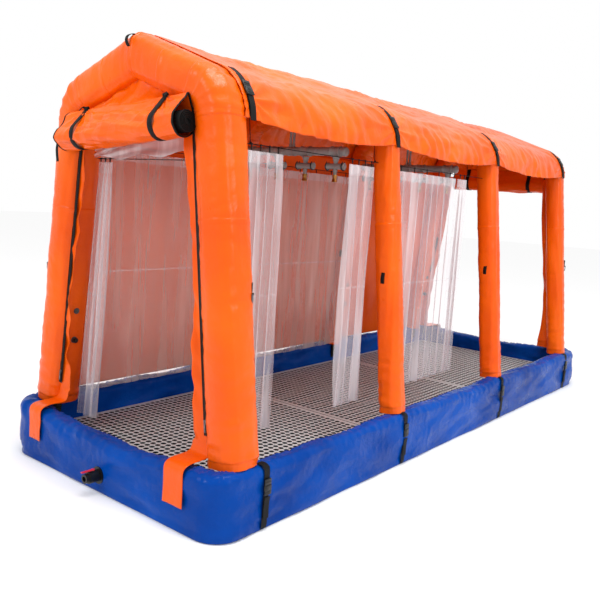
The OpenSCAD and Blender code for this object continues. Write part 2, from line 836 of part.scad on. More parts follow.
module supply_pipe() {
    color("gray") {
        translate([0, supply_front_y, supply_h]) rotate([-90, 0, 0])
            cylinder(d = supply_d, h = supply_rear_y - supply_front_y);
        for (y = header_y) translate([0, y, supply_h]) rotate([-90, 0, 0])
            cylinder(d = supply_d + 14, h = 90, center = true);
    }
}

module inlet_coupling() {
    color("goldenrod") translate([0, supply_rear_y + clear / 4, supply_h]) rotate([-90, 0, 0]) difference() {
        union() {
            cylinder(d = supply_d + 16, h = inlet_l, $fn = 6);
            cylinder(d = supply_d + 8, h = inlet_l + 14);
        }
        translate([0, 0, 14]) cylinder(r = inlet_bore_r, h = inlet_l + cut);
    }
}

// ---- rings ----

ring_out = 14;                             // distance of the rings' hinge line off the tube
tab_w = 26;
side_l = 24;                               // straight length of a ring's sides

// puts its children at the hinge line of the ring on one arch's right-hand leg: x points away from the tube
module at_ring(index, turn = ring_turn) {
    axis_x = leg_x(ring_h, -arch_d[index] / 2);
    translate([axis_x, arch_y[index], ring_h]) rotate([0, 0, turn])
        translate([arch_d[index] / 2 + ring_out, 0, 0]) children();
}

// the same on the left-hand legs, where the rings turn away from the wall panels
module at_left_ring(index) {
    mirror([1, 0, 0]) at_ring(index, index == 0 ? -ring_turn : ring_turn) children();
}

module ring_tab() {
    color("black") difference() {
        union() {
            rotate([90, 0, 0]) cylinder(r = wire_r + 3, h = tab_w, center = true);
            translate([-8, -tab_w / 2, 0]) cube([5, tab_w, 62]);
        }
        rotate([90, 0, 0]) cylinder(r = wire_r + fit, h = tab_w + 2 * cut, center = true);
    }
}

module ring_tabs() {
    for (i = [0, 3]) {
        at_ring(i) ring_tab();
        at_left_ring(i) ring_tab();
    }
}

// a bar through the tab, two sides and a round bow below
module ring() {
    bow_r = ring_r + wire_r;
    color("dimgray") {
        rotate([90, 0, 0]) cylinder(r = wire_r, h = 2 * bow_r, center = true);
        for (s = [-1, 1]) translate([0, s * bow_r, 0]) {
            sphere(wire_r * 1.25);
            translate([0, 0, -side_l]) cylinder(r = wire_r, h = side_l);
        }
        translate([0, 0, -side_l]) rotate([90, 0, 90]) rotate([0, 0, 180])
            rotate_extrude(angle = 180) translate([bow_r, 0]) circle(wire_r);
    }
}

module ring_front_right() { at_ring(0) ring(); }
module ring_front_left() { at_left_ring(0) ring(); }
module ring_rear_right() { at_ring(3) ring(); }
module ring_rear_left() { at_left_ring(3) ring(); }

// ---- drawing ----

basin_tub();
deck_bearers();
grating_front();
grating_middle();
grating_rear();
drain_flange();
drain_seal();
drain_valve_body();
drain_ball();
drain_lever();
front_arch();
second_arch();
third_arch();
rear_arch();
inflation_valves();
valve_caps();
basin_straps();
basin_buckles();
fly_straps();
fly_buckles();
roof_fly();
front_gable();
rear_gable();
front_door_roll();
rear_door_roll();
roll_straps();
front_jambs();
rear_jambs();
door_zips();
slider_front_right();
slider_front_left();
slider_rear_right();
slider_rear_left();
left_panels();
front_curtain();
right_curtain_front();
right_curtain_back();
middle_curtains();
left_curtain();
front_curtain_hooks();
right_front_hooks();
right_back_hooks();
middle_hooks();
left_hooks();
curtain_lines();
header_front();
header_rear();
drops_front();
drops_rear();
header_risers();
supply_pipe();
inlet_coupling();
pipe_clips();
nozzles_front();
nozzles_rear();
ring_tabs();
ring_front_right();
ring_front_left();
ring_rear_right();
ring_rear_left();
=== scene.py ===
import math
import bpy
import bmesh
import numpy as np
from mathutils import Matrix, Vector


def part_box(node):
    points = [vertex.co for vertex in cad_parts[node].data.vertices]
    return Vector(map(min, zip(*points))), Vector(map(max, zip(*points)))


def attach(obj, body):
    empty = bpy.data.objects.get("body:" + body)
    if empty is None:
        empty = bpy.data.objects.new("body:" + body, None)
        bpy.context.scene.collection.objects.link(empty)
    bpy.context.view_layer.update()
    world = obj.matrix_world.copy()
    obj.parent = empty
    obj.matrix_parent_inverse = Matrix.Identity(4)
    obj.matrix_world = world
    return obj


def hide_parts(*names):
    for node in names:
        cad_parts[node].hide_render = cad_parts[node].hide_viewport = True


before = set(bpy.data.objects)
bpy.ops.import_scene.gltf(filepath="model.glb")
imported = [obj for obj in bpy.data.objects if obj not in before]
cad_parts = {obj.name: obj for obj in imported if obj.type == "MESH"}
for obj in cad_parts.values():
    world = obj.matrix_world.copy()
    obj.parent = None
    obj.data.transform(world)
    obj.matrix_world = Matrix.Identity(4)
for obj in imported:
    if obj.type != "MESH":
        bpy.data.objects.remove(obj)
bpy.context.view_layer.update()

print("frame loaded")

# camera and light

view = {"place": (3.4015, -5.1805, 1.7993), "yaw": 38.77, "down": 7.945, "roll": 3.615, "lens": 42.47}


def makeCamera():
    yaw, down, roll = (math.radians(view[k]) for k in ("yaw", "down", "roll"))
    ahead = Vector((-math.sin(yaw) * math.cos(down), math.cos(yaw) * math.cos(down), -math.sin(down)))
    right = Vector((math.cos(yaw), math.sin(yaw), 0))
    up = right.cross(ahead)
    camRight = math.cos(roll) * right + math.sin(roll) * up
    camUp = math.cos(roll) * up - math.sin(roll) * right
    data = bpy.data.cameras.new("camera")
    data.lens, data.sensor_width = view["lens"], 36
    data.clip_start, data.clip_end = 0.05, 100
    camera = bpy.data.objects.new("camera", data)
    turn = Matrix((camRight, camUp, -ahead)).transposed().to_4x4()
    camera.matrix_world = Matrix.Translation(view["place"]) @ turn
    bpy.context.scene.collection.objects.link(camera)
    bpy.context.scene.camera = camera


def softbox(name, place, aim, width, height, power, color=(1, 1, 1)):
    data = bpy.data.lights.new(name, "AREA")
    data.shape, data.size, data.size_y = "RECTANGLE", width, height
    data.energy, data.color = power, color
    lamp = bpy.data.objects.new(name, data)
    lamp.location = place
    lamp.rotation_mode = "QUATERNION"
    lamp.rotation_quaternion = (Vector(aim) - Vector(place)).to_track_quat("-Z", "Y")
    bpy.context.scene.collection.objects.link(lamp)


makeCamera()

# colour and material helpers


def linearRgb(hexCode):
    parts = [int(hexCode[i:i + 2], 16) / 255 for i in (1, 3, 5)]
    return tuple(c / 12.92 if c <= 0.04045 else ((c + 0.055) / 1.055) ** 2.4 for c in parts) + (1,)


def addNode(tree, kind, settings=None, links=None):
    # settings are node properties first, then input values by name or number
    node = tree.nodes.new(kind)
    for key, value in (settings or {}).items():
        if isinstance(key, str) and hasattr(node, key):
            setattr(node, key, value)
    for key, value in (settings or {}).items():
        if isinstance(key, int) or not hasattr(node, key):
            node.inputs[key].default_value = value
    for key, source in (links or {}).items():
        tree.links.new(source, node.inputs[key])
    return node


def newMaterial(name, hexCode, roughness, settings=None):
    material = bpy.data.materials.new(name)
    material.use_nodes = True
    tree = material.node_tree
    tree.nodes.clear()
    shader = addNode(tree, "ShaderNodeBsdfPrincipled",
                     {"Base Color": linearRgb(hexCode), "Roughness": roughness})
    for key, value in (settings or {}).items():
        shader.inputs[key].default_value = value
    addNode(tree, "ShaderNodeOutputMaterial", {}, {"Surface": shader.outputs[0]})
    return material, tree, shader


def twoTone(tree, shader, mask, low, high):
    ramp = addNode(tree, "ShaderNodeValToRGB", {}, {"Fac": mask})
    ramp.color_ramp.elements[0].color, ramp.color_ramp.elements[1].color = linearRgb(low), linearRgb(high)
    ramp.color_ramp.elements[0].position, ramp.color_ramp.elements[1].position = 0.3, 0.7
    tree.links.new(ramp.outputs[0], shader.inputs["Base Color"])


def remap(tree, source, low, high):
    return addNode(tree, "ShaderNodeMapRange", {"To Min": low, "To Max": high},
                   {"Value": source}).outputs[0]


def coatedFabric(name, mid, dark, light, roughness, crease=1.0, shine=0.30):
    # PVC-coated polyester: a glossy skin over a woven scrim, with creases and a slightly uneven shine
    material, tree, shader = newMaterial(name, mid, roughness, {"IOR": 1.5, "Specular IOR Level": shine})
    place = addNode(tree, "ShaderNodeTexCoord").outputs["Object"]
    broad = addNode(tree, "ShaderNodeTexNoise", {"Scale": 1.6, "Detail": 3.0}, {"Vector": place})
    twoTone(tree, shader, broad.outputs[0], dark, light)
    patch = addNode(tree, "ShaderNodeTexNoise", {"Scale": 9.0, "Detail": 4.0}, {"Vector": place})
    tree.links.new(remap(tree, patch.outputs[0], roughness - 0.08, roughness + 0.10),
                   shader.inputs["Roughness"])
    warp = addNode(tree, "ShaderNodeTexNoise", {"Scale": 4.0, "Detail": 3.0}, {"Vector": place})
    moved = addNode(tree, "ShaderNodeMix", {"data_type": "VECTOR", "Factor": 0.20},
                    {"A": place, "B": warp.outputs["Color"]})
    # rumpled patches: small sharp ridges about 60 mm apart that come and go
    folds = addNode(tree, "ShaderNodeTexNoise", {"noise_type": "RIDGED_MULTIFRACTAL", "Scale": 7.0,
                                                 "Detail": 3.0,
                                                 "Roughness": 0.45, "Distortion": 0.4},
                    {"Vector": moved.outputs["Result"]})
    where = addNode(tree, "ShaderNodeTexNoise", {"Scale": 2.6, "Detail": 1.0}, {"Vector": place})
    amount = addNode(tree, "ShaderNodeMapRange", {"From Min": 0.45, "From Max": 0.68},
                     {"Value": where.outputs[0]})
    ridge = addNode(tree, "ShaderNodeMath", {"operation": "MULTIPLY"},
                    {0: folds.outputs[0], 1: amount.outputs[0]})
    fine = addNode(tree, "ShaderNodeTexNoise", {"Scale": 26.0, "Detail": 4.0, "Roughness": 0.5},
                   {"Vector": place})
    # 1 mm threads, drawn at 2.4 mm
    scrim = addNode(tree, "ShaderNodeTexVoronoi", {"Scale": 420.0}, {"Vector": place})
    first = addNode(tree, "ShaderNodeBump", {"Strength": 0.60, "Distance": 0.016 * crease},
                    {"Height": ridge.outputs[0]})
    second = addNode(tree, "ShaderNodeBump", {"Strength": 0.45, "Distance": 0.007 * crease},
                     {"Height": fine.outputs[0], "Normal": first.outputs[0]})
    third = addNode(tree, "ShaderNodeBump", {"Strength": 0.05, "Distance": 0.001},
                    {"Height": scrim.outputs["Distance"], "Normal": second.outputs[0]})
    tree.links.new(third.outputs[0], shader.inputs["Normal"])
    return material


def clearFilm(name, haze, streakHazeAndHighlight=0.30, tint="#F1ECEF"):
    # flexible clear PVC film: see-through and milky, whiter in broad upright streaks that are part haze
    # and part painted highlight standing in for lamp reflections on folds, and milkier where it is seen
    # edge-on
    material, tree, shader = newMaterial(name, tint, 0.16, {"IOR": 1.5, "Specular IOR Level": 0.9})
    edge = addNode(tree, "ShaderNodeLayerWeight", {"Blend": 0.30})
    place = addNode(tree, "ShaderNodeTexCoord").outputs["Object"]
    tall = addNode(tree, "ShaderNodeVectorMath", {"operation": "MULTIPLY", 1: (11.0, 11.0, 0.7)},
                   {0: place})
    cloud = addNode(tree, "ShaderNodeTexNoise", {"Scale": 1.0, "Detail": 3.0, "Roughness": 0.5},
                    {"Vector": tall.outputs[0]})
    # opacity of the near-white film: the even haze plus upright streaks that are part haze and part painted
    # highlight
    hazeAndHighlight = addNode(tree, "ShaderNodeMapRange", {"From Min": 0.42, "From Max": 0.70, "To Min": haze,
                                                "To Max": haze + streakHazeAndHighlight, "interpolation_type": "SMOOTHSTEP"},
                   {"Value": cloud.outputs[0]})
    show = addNode(tree, "ShaderNodeMath", {"operation": "MULTIPLY_ADD", "use_clamp": True, 1: 0.50},
                   {0: edge.outputs["Facing"], 2: hazeAndHighlight.outputs[0]})
    tree.links.new(show.outputs[0], shader.inputs["Alpha"])
    bump = addNode(tree, "ShaderNodeBump", {"Strength": 0.30, "Distance": 0.008},
                   {"Height": cloud.outputs[0]})
    tree.links.new(bump.outputs[0], shader.inputs["Normal"])
    return material


def gratingMaterial(name, top, side):
    # moulded grating: pale resin with worn grit on the upper faces; the upright faces down in the holes get a
    # dark colour, which is painted shade
    material, tree, shader = newMaterial(name, top, 0.42)
    place = addNode(tree, "ShaderNodeTexCoord").outputs["Object"]
    # how upright each face is picks between the resin colour and the painted shade colour
    facing = addNode(tree, "ShaderNodeSeparateXYZ", {},
                     {0: addNode(tree, "ShaderNodeNewGeometry").outputs["Normal"]})
    flat = addNode(tree, "ShaderNodeMapRange", {"From Min": 0.35, "From Max": 0.75},
                   {"Value": facing.outputs[2]})
    grit = addNode(tree, "ShaderNodeTexNoise", {"Scale": 45.0, "Detail": 6.0, "Roughness": 0.7},
                   {"Vector": place})
    worn = addNode(tree, "ShaderNodeMix", {"data_type": "RGBA", 6: linearRgb("#AEB1B2"), 7: linearRgb(top)},
                   {0: grit.outputs[0]})
    # upright faces take the dark colour: painted shade in the holes and on the rim's sides
    both = addNode(tree, "ShaderNodeMix", {"data_type": "RGBA", 6: linearRgb(side)},
                   {0: flat.outputs[0], 7: worn.outputs[2]})
    tree.links.new(both.outputs[2], shader.inputs["Base Color"])
    bump = addNode(tree, "ShaderNodeBump", {"Strength": 0.3, "Distance": 0.001},
                   {"Height": grit.outputs[0]})
    tree.links.new(bump.outputs[0], shader.inputs["Normal"])
    return material


def wovenWebbing(name, hexCode, dark):
    # polyester webbing: a flat herringbone of 1.5 mm yarns, drawn at 3 mm so that it shows
    material, tree, shader = newMaterial(name, hexCode, 0.62, {"Specular IOR Level": 0.18})
    flat = addNode(tree, "ShaderNodeTexCoord").outputs["UV"]
    across = addNode(tree, "ShaderNodeTexWave", {"wave_type": "BANDS", "bands_direction": "DIAGONAL",
                                                 "Scale": 52.0},
                     {"Vector": flat})
    weave = addNode(tree, "ShaderNodeTexWave", {"wave_type": "BANDS", "bands_direction": "Y",
                                                "Scale": 105.0},
                    {"Vector": flat})
    both = addNode(tree, "ShaderNodeMath", {"operation": "MULTIPLY"},
                   {0: across.outputs["Fac"], 1: weave.outputs["Fac"]})
    twoTone(tree, shader, both.outputs[0], dark, hexCode)
    bump = addNode(tree, "ShaderNodeBump", {"Strength": 0.5, "Distance": 0.0012},
                   {"Height": both.outputs[0]})
    tree.links.new(bump.outputs[0], shader.inputs["Normal"])
    return material


def mouldedPlastic(name, hexCode, worn, roughness, grain=320.0, extra=None):
    # injection-moulded plastic: fine spark-eroded grain and slightly polished high spots
    material, tree, shader = newMaterial(name, hexCode, roughness, extra)
    place = addNode(tree, "ShaderNodeTexCoord").outputs["Object"]
    broad = addNode(tree, "ShaderNodeTexNoise", {"Scale": 12.0, "Detail": 4.0}, {"Vector": place})
    twoTone(tree, shader, broad.outputs[0], hexCode, worn)
    tree.links.new(remap(tree, broad.outputs[0], roughness - 0.07, roughness + 0.08),
                   shader.inputs["Roughness"])
    speck = addNode(tree, "ShaderNodeTexNoise", {"Scale": grain, "Detail": 2.0}, {"Vector": place})
    bump = addNode(tree, "ShaderNodeBump", {"Strength": 0.12, "Distance": 0.0008},
                   {"Height": speck.outputs[0]})
    tree.links.new(bump.outputs[0], shader.inputs["Normal"])
    return material


def turnedMetal(name, hexCode, dull, roughness):
    # turned or plated metal: fine circular tool marks and dull patches
    material, tree, shader = newMaterial(name, hexCode, roughness, {"Metallic": 1.0})
    place = addNode(tree, "ShaderNodeTexCoord").outputs["Object"]
    broad = addNode(tree, "ShaderNodeTexNoise", {"Scale": 40.0, "Detail": 5.0}, {"Vector": place})
    twoTone(tree, shader, broad.outputs[0], dull, hexCode)
    tree.links.new(remap(tree, broad.outputs[0], roughness - 0.1, roughness + 0.12),
                   shader.inputs["Roughness"])
    marks = addNode(tree, "ShaderNodeTexWave", {"wave_type": "BANDS", "bands_direction": "Z",
                                                "Scale": 260.0,
                                                "Distortion": 0.4}, {"Vector": place})
    bump = addNode(tree, "ShaderNodeBump", {"Strength": 0.12, "Distance": 0.0005},
                   {"Height": marks.outputs["Fac"]})
    tree.links.new(bump.outputs[0], shader.inputs["Normal"])
    return material


orangeTarp = coatedFabric("orangeCoatedFabric", "#E05400", "#D84A00", "#E85E00", 0.30, 1.0, 0.20)
insideTarp = coatedFabric("orangeCoatedFabricLiner", "#E04E00", "#D44600", "#E85A04", 0.40, 0.9, 0.14)
blueTarp = coatedFabric("blueCoatedFabric", "#003A8A", "#002E7A", "#0048A4", 0.22, 1.9, 0.07)
# third number: strength of the upright streaks, part milky haze and part painted highlight
clearCurtain = clearFilm("clearVinylFilm", 0.26, 0.28, "#DFD6DA")
clearLiner = clearFilm("clearVinylLiner", 0.24, 0.10, "#E0CBC4")
clearHem = clearFilm("clearVinylWeldedHem", 0.16, 0.12)
# the second colour, #141618, is painted shade for the upright faces in the holes
gratePlastic = gratingMaterial("mouldedGrating", "#D6D8D8", "#141618")
webbing = wovenWebbing("polyesterWebbing", "#0B0C0D", "#050506")
acetal = mouldedPlastic("mouldedAcetal", "#0A0B0C", "#111213", 0.36, extra={"Specular IOR Level": 0.35})
pipePlastic = mouldedPlastic("greyPipePlastic", "#7E7C7A", "#8C8A88", 0.26, 180.0)
bearerPlastic = mouldedPlastic("pultrudedBearer", "#2C2F31", "#3A3D3F", 0.5, 140.0)
redPlastic = mouldedPlastic("redHandlePlastic", "#C4141B", "#D62A2C", 0.30)
blackRubber = mouldedPlastic("blackRubber", "#141414", "#1E1E1E", 0.60)
greyValve = mouldedPlastic("valvePlastic", "#3A3C3E", "#4A4C4E", 0.42)
brassMetal = turnedMetal("turnedBrass", "#B98545", "#7A5426", 0.30)
plateSteel = turnedMetal("platedSteel", "#7B7E82", "#4C4F52", 0.32)
polishedSteel = turnedMetal("polishedSteel", "#C9CCCE", "#9A9DA0", 0.16)
zipTooth = mouldedPlastic("zipCoil", "#08090A", "#101112", 0.35, 500.0, {"Specular IOR Level": 0.3})
zipCloth = wovenWebbing("zipTapeCloth", "#0A0B0C", "#040505")
print("materials made")

# mesh helpers


def noise(points, size, seed):
    # smooth value noise from -1 to 1; size is the lattice spacing in metres
    p = np.asarray(points, float) / size
    cell = np.floor(p).astype(np.int64)
    f = p - cell
    f = f * f * (3 - 2 * f)
    total = np.zeros(p.shape[:-1])
    dims = p.shape[-1]
    for corner in range(2 ** dims):
        bits = [(corner >> k) & 1 for k in range(dims)]
        h = np.full(p.shape[:-1], seed * 7919 + 17, np.int64)
        w = np.ones(p.shape[:-1])
        for k, bit in enumerate(bits):
            h = (h * 1664525 + (cell[..., k] + bit) * (73856093, 19349663, 83492791)[k]
                 + 1013904223) & 0xFFFFFFFF
            h ^= h >> 13
            w = w * (f[..., k] if bit else 1 - f[..., k])
        h = (h * 1103515245 + 12345) & 0x7FFFFFFF
        total += w * (((h >> 8) & 0xFFFF) / 32767.5 - 1)
    return total


def layered(points, size, seed, layers=3):
    return sum(noise(points, size / 2 ** k, seed + 31 * k) / 2 ** k for k in range(layers))


def creases(u, v, size, seed, count=4, stretch=1.0):
    # flat facets parted by sharp fold lines, as stiff coated cloth makes; u runs along the folds
    rng = np.random.RandomState(seed)
    flat = np.stack([u / stretch, v], -1)
    bend = noise(flat, size * 2.2, seed + 5) * size * 0.5
    total = np.zeros(np.broadcast(u, v).shape)
    for k in range(count):
        angle = rng.uniform(-0.9, 0.9) + (math.pi / 2 if k % 2 else 0) * 0.35
        wave = size * rng.uniform(0.7, 1.7)
        t = (v * math.cos(angle) + u / stretch * math.sin(angle) + bend) / wave + rng.uniform(0, 1)
        saw = np.abs(t - np.floor(t) - 0.5) * 2
        fade = 0.5 + 0.5 * noise(flat + 3.1 * k, size * 1.6, seed + 11 * k)
        total += (saw - 0.5) * fade * wave / size
    return total * 1.2 / math.sqrt(count)


def gridPart(points, closeU=False, closeV=False, uv=None, flip=False):
    nu, nv = points.shape[:2]
    iu = np.arange(nu if closeU else nu - 1)
    iv = np.arange(nv if closeV else nv - 1)
    a, b = np.meshgrid(iu, iv, indexing="ij")
    a, b = a.ravel(), b.ravel()
    a2, b2 = (a + 1) % nu, (b + 1) % nv
    faces = np.stack([a * nv + b, a2 * nv + b, a2 * nv + b2, a * nv + b2], 1)
    if flip:
        faces = faces[:, ::-1]
    if uv is None:
        du = np.linalg.norm(np.diff(points, axis=0), axis=2).mean(1)
        dv = np.linalg.norm(np.diff(points, axis=1), axis=2).mean(0)
        uu, vv = np.meshgrid(np.concatenate([[0], du.cumsum()]), np.concatenate([[0], dv.cumsum()]),
                             indexing="ij")
        uv = np.stack([uu, vv], -1)
    return points.reshape(-1, 3), faces.tolist(), uv.reshape(-1, 2)


def fanPart(ring, flip=False):
    ring = np.asarray(ring, float)
    n = len(ring)
    faces = [[i, (i + 1) % n, n] for i in range(n)]
    if flip:
        faces = [f[::-1] for f in faces]
    points = np.vstack([ring, ring.mean(0)])
    return points, faces, points[:, :2].copy()


def meshPiece(name, parts, materials, rides, smooth=True, angle=None, replaces=()):
    # parts: list of (points, faces, uv) or (points, faces, uv, material index)
    points, faces, uvs, index, start = [], [], [], [], 0
    for part in parts:
        p, f, uv = part[:3]
        points.append(np.asarray(p, float))
        uvs.append(np.asarray(uv, float))
        faces += [[i + start for i in face] for face in f]
        index += [part[3] if len(part) > 3 else 0] * len(f)
        start += len(p)
    points, uvs = np.vstack(points), np.vstack(uvs)
    mesh = bpy.data.meshes.new(name)
    mesh.from_pydata(points.tolist(), [], faces)
    layer = mesh.uv_layers.new(name="flat")
    corners = np.zeros(len(mesh.loops), np.int32)
    mesh.loops.foreach_get("vertex_index", corners)
    layer.data.foreach_set("uv", uvs[corners].astype(np.float32).ravel())
    mesh.polygons.foreach_set("material_index", np.array(index, np.int32))
    for material in materials if isinstance(materials, (list, tuple)) else [materials]:
        mesh.materials.append(material)
    if smooth:
        mesh.polygons.foreach_set("use_smooth", np.ones(len(mesh.polygons), bool))
    mesh.update()
    if smooth and angle:
        mesh.set_sharp_from_angle(angle=math.radians(angle))
    piece = bpy.data.objects.new(name, mesh)
    bpy.context.scene.collection.objects.link(piece)
    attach(piece, rides)
    if replaces:
        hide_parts(*replaces)
    return piece


def thicken(piece, thickness):
    solid = piece.modifiers.new("thickness", "SOLIDIFY")
    solid.thickness, solid.offset, solid.use_even_offset = thickness, 0.0, False
    return piece


def clothSheet(piece, cut):
    # cut is the flat size, stated apart from the mesh; the gables, curtains and valance were settled
    # after their mesh areas were known, so for them the area test shows agreement only
    flats[piece.name] = cut


flats = {}


def mirrored(part):
    points = np.array(part[0], float)
    points[:, 0] *= -1
    return (points, [f[::-1] for f in part[1]], part[2]) + tuple(part[3:])


def movedPart(part, matrix):
    m = np.array(matrix)
    points = np.asarray(part[0], float) @ m[:3, :3].T + m[:3, 3]
    faces = part[1] if np.linalg.det(m[:3, :3]) > 0 else [f[::-1] for f in part[1]]
    return (points, faces, part[2]) + tuple(part[3:])


def basis(origin, xAxis, yAxis, zAxis):
    m = Matrix.Identity(4)
    for k, axis in enumerate((xAxis, yAxis, zAxis)):
        m.col[k][:3] = Vector(axis)
    m.col[3][:3] = Vector(origin)
    return m


def fromBmesh(bm):
    bm.verts.ensure_lookup_table()
    points = np.array([v.co for v in bm.verts])
    faces = [[v.index for v in f.verts] for f in bm.faces]
    bm.free()
    return points, faces, points[:, :2].copy()


def platePart(outline, low, high, bevel=0.0, steps=2):
    # a flat plate of the given outline between two heights, with softened edges
    bm = bmesh.new()
    verts = [bm.verts.new((x, y, low)) for x, y in outline]
    face = bm.faces.new(verts)
    out = bmesh.ops.extrude_face_region(bm, geom=[face])
    bmesh.ops.translate(bm, verts=[g for g in out["geom"] if isinstance(g, bmesh.types.BMVert)],
                        vec=(0, 0, high - low))
    bmesh.ops.recalc_face_normals(bm, faces=bm.faces)
    if bevel:
        edges = [e for e in bm.edges if e.calc_face_angle(0) > 0.5]
        bmesh.ops.bevel(bm, geom=edges, offset=bevel, segments=steps, profile=0.5, affect="EDGES",
                        clamp_overlap=True)
    bm.verts.index_update()
    return fromBmesh(bm)


def boxPart(low, high, bevel=0.001, steps=2):
    return platePart([(low[0], low[1]), (high[0], low[1]), (high[0], high[1]), (low[0], high[1])],
                     low[2], high[2], bevel, steps)


def lathePart(profile, count=40):
    # profile: (radius, height) pairs turned round the z axis; ends on the axis close the shape
    angles = np.linspace(0, 2 * math.pi, count, endpoint=False)
    r, z = np.array(profile, float).T
    points = np.stack([r[:, None] * np.cos(angles), r[:, None] * np.sin(angles),
                       np.repeat(z[:, None], count, 1)], -1)
    return gridPart(points, closeV=True, flip=True)


def softProfile(profile, radius=0.0012):
    # rounds the corners of a turned profile with one extra point each side
    out = [profile[0]]
    for a, b, c in zip(profile, profile[1:], profile[2:]):
        a, b, c = map(np.array, (a, b, c))
        for other in (a, c):
            d = other - b
            n = np.linalg.norm(d)
            out.append(tuple(b + d / max(n, 1e-9) * min(radius, n * 0.45)))
    out.append(profile[-1])
    return out


# the arches' outline

tent = {"baseX": 0.975, "wallTop": 0.370, "ridge": 2.700, "lean": 6.8, "pitch": 20.0, "shoulder": 0.320,
        "archY": (-2.495, -0.930, 0.720, 2.370), "archD": (0.25, 0.17, 0.17,
                                                           0.17), "halfL": 2.75, "halfW": 1.0,
        "wallT": 0.130, "flyEdge": 2.215}
lean, pitch = math.radians(tent["lean"]), math.radians(tent["pitch"])
legN = np.array([math.cos(lean), math.sin(lean)])
roofN = np.array([math.sin(pitch), math.cos(pitch)])
apexZ = tent["ridge"] - 0.006 / math.cos(pitch)
cornerPoint = np.linalg.solve(np.array([legN, roofN]),
                              [legN @ [tent["baseX"], tent["wallTop"]], roofN @ [0, apexZ]])
turn = math.pi / 2 - pitch - lean
shoulderC = cornerPoint - tent["shoulder"] * (legN + roofN) / (1 + legN @ roofN)
topPoint = shoulderC + tent["shoulder"] * roofN
footPoint = shoulderC + tent["shoulder"] * legN
roofRun = topPoint[0] / math.cos(pitch)
bendRun = tent["shoulder"] * turn
legRun = (footPoint[1] - tent["wallTop"]) / math.cos(lean)
fullRun = roofRun + bendRun + legRun


def legX(z):
    return tent["baseX"] - (z - tent["wallTop"]) * math.tan(lean)


def outlineAt(s):
    # x, z and outward normal of the outer outline at distance s from the ridge down the right side
    s = np.asarray(s, float)
    onRoof, onLeg = s < roofRun, s > roofRun + bendRun
    a = math.pi / 2 - pitch - np.clip((s - roofRun) / tent["shoulder"], 0, turn)
    nx, nz = np.cos(a), np.sin(a)
    x = shoulderC[0] + tent["shoulder"] * nx
    z = shoulderC[1] + tent["shoulder"] * nz
    x = np.where(onRoof, s * math.cos(pitch), x)
    z = np.where(onRoof, apexZ - s * math.sin(pitch), z)
    d = s - roofRun - bendRun
    x = np.where(onLeg, footPoint[0] + d * math.sin(lean), x)
    z = np.where(onLeg, footPoint[1] - d * math.cos(lean), z)
    return x, z, nx, nz


# air-filled arches

tube = {"sides": 60, "squareness": 2.7, "ringGap": 0.014, "seamRise": 0.0017, "seamHalf": 0.014,
        "foldDepth": 0.010,
        "shoulderFold": 0.0115, "footFold": 0.0085, "plainFold": 0.0022, "longFold": 0.0055}


def archPart(index):
    r = tent["archD"][index] / 2
    y0 = tent["archY"][index]
    phi = np.linspace(0, 2 * math.pi, tube["sides"], endpoint=False)
    power = 2 / tube["squareness"]
    cx = np.sign(np.cos(phi)) * np.abs(np.cos(phi)) ** power
    cy = np.sign(np.sin(phi)) * np.abs(np.sin(phi)) ** power
    seams = [0.0, roofRun * 0.52, roofRun, roofRun + bendRun, roofRun + bendRun + legRun * 0.30,
             fullRun - 0.06]
    stations = set(np.arange(0, fullRun, tube["ringGap"]).round(4)) | {round(fullRun - 0.0006, 5)}
    for seam in seams:
        stations |= {round(seam + k, 5) for k in (-tube["seamHalf"] - 0.001, -tube["seamHalf"],
                                                  tube["seamHalf"], tube["seamHalf"] + 0.001)}
    s = np.array(sorted(k for k in stations if 0 <= k <= fullRun - 0.0005))
    # a rafter's lines start where they meet the ridge's mitre
    off = -r + r * cx
    start = -off * math.tan(pitch)
    t = np.clip(s / roofRun, 0, 1)
    run = np.where(s[:, None] < roofRun, start[None] * (1 - t[:, None]) + s[:, None], s[:, None])
    x, z, nx, nz = outlineAt(run)
    wobble = np.stack(np.broadcast_arrays(run, phi[None] * r * 1.0, np.full_like(run, index)), -1)
    rise = 0.0026 * layered(wobble, 0.30, 3 + index) + 0.0009 * noise(wobble, 0.055, 9 + index)
    for seam in seams:
        rise = rise + tube["seamRise"] * (np.abs(s[:, None] - seam) <= tube["seamHalf"] + 1e-6)
    # pressed folds on the inside of the shoulder, and smaller ones all round near it
    inner = np.clip(-np.cos(phi), 0, 1)[None] ** 1.5
    bent = np.exp(-((s - roofRun - bendRun / 2) / (bendRun * 0.42)) ** 2)[:, None]
    wave = np.abs(np.sin(math.pi * s / 0.047 + 1.1 * np.sin(9 * s + index)))[:, None]
    rise = rise - tube["foldDepth"] * inner * bent * (1 - wave) ** 1.3
    skew = creases(phi[None] * r + 0.6 * s[:, None], s[:, None] + 0 * phi[None], 0.075, 40 + index, 4, 1.6)
    # creases crowd at the shoulder and above the foot
    tight = np.exp(-(fullRun - s) / 0.28)[:, None]
    rise = rise + skew * (tube["shoulderFold"] * bent + tube["footFold"] * tight + tube["plainFold"])
    # long shallow folds that run along the tube
    alongTube, roundTube = np.meshgrid(s, phi * r, indexing="ij")
    rise = rise + tube["longFold"] * creases(alongTube, roundTube, 0.065, 60 + index, 4, 5.0)
    # gathers where the tube is welded to the basin
    foot = np.exp(-(fullRun - s) / 0.07)[:, None]
    rise = rise + foot * 0.0035 * np.abs(np.sin(phi * 17 + 2 * np.sin(phi * 3)))[None] - foot * 0.004
    scale = 1 + rise / r
    o = -r + r * cx[None] * scale
    points = np.stack([x + o * nx, y0 + r * cy[None] * scale + 0 * x, z + o * nz], -1)
    points[0, :, 0] = 0
    side = gridPart(points, closeV=True)
    foot = fanPart(points[-1], flip=True)
    return [side, foot, mirrored(side), mirrored(foot)]


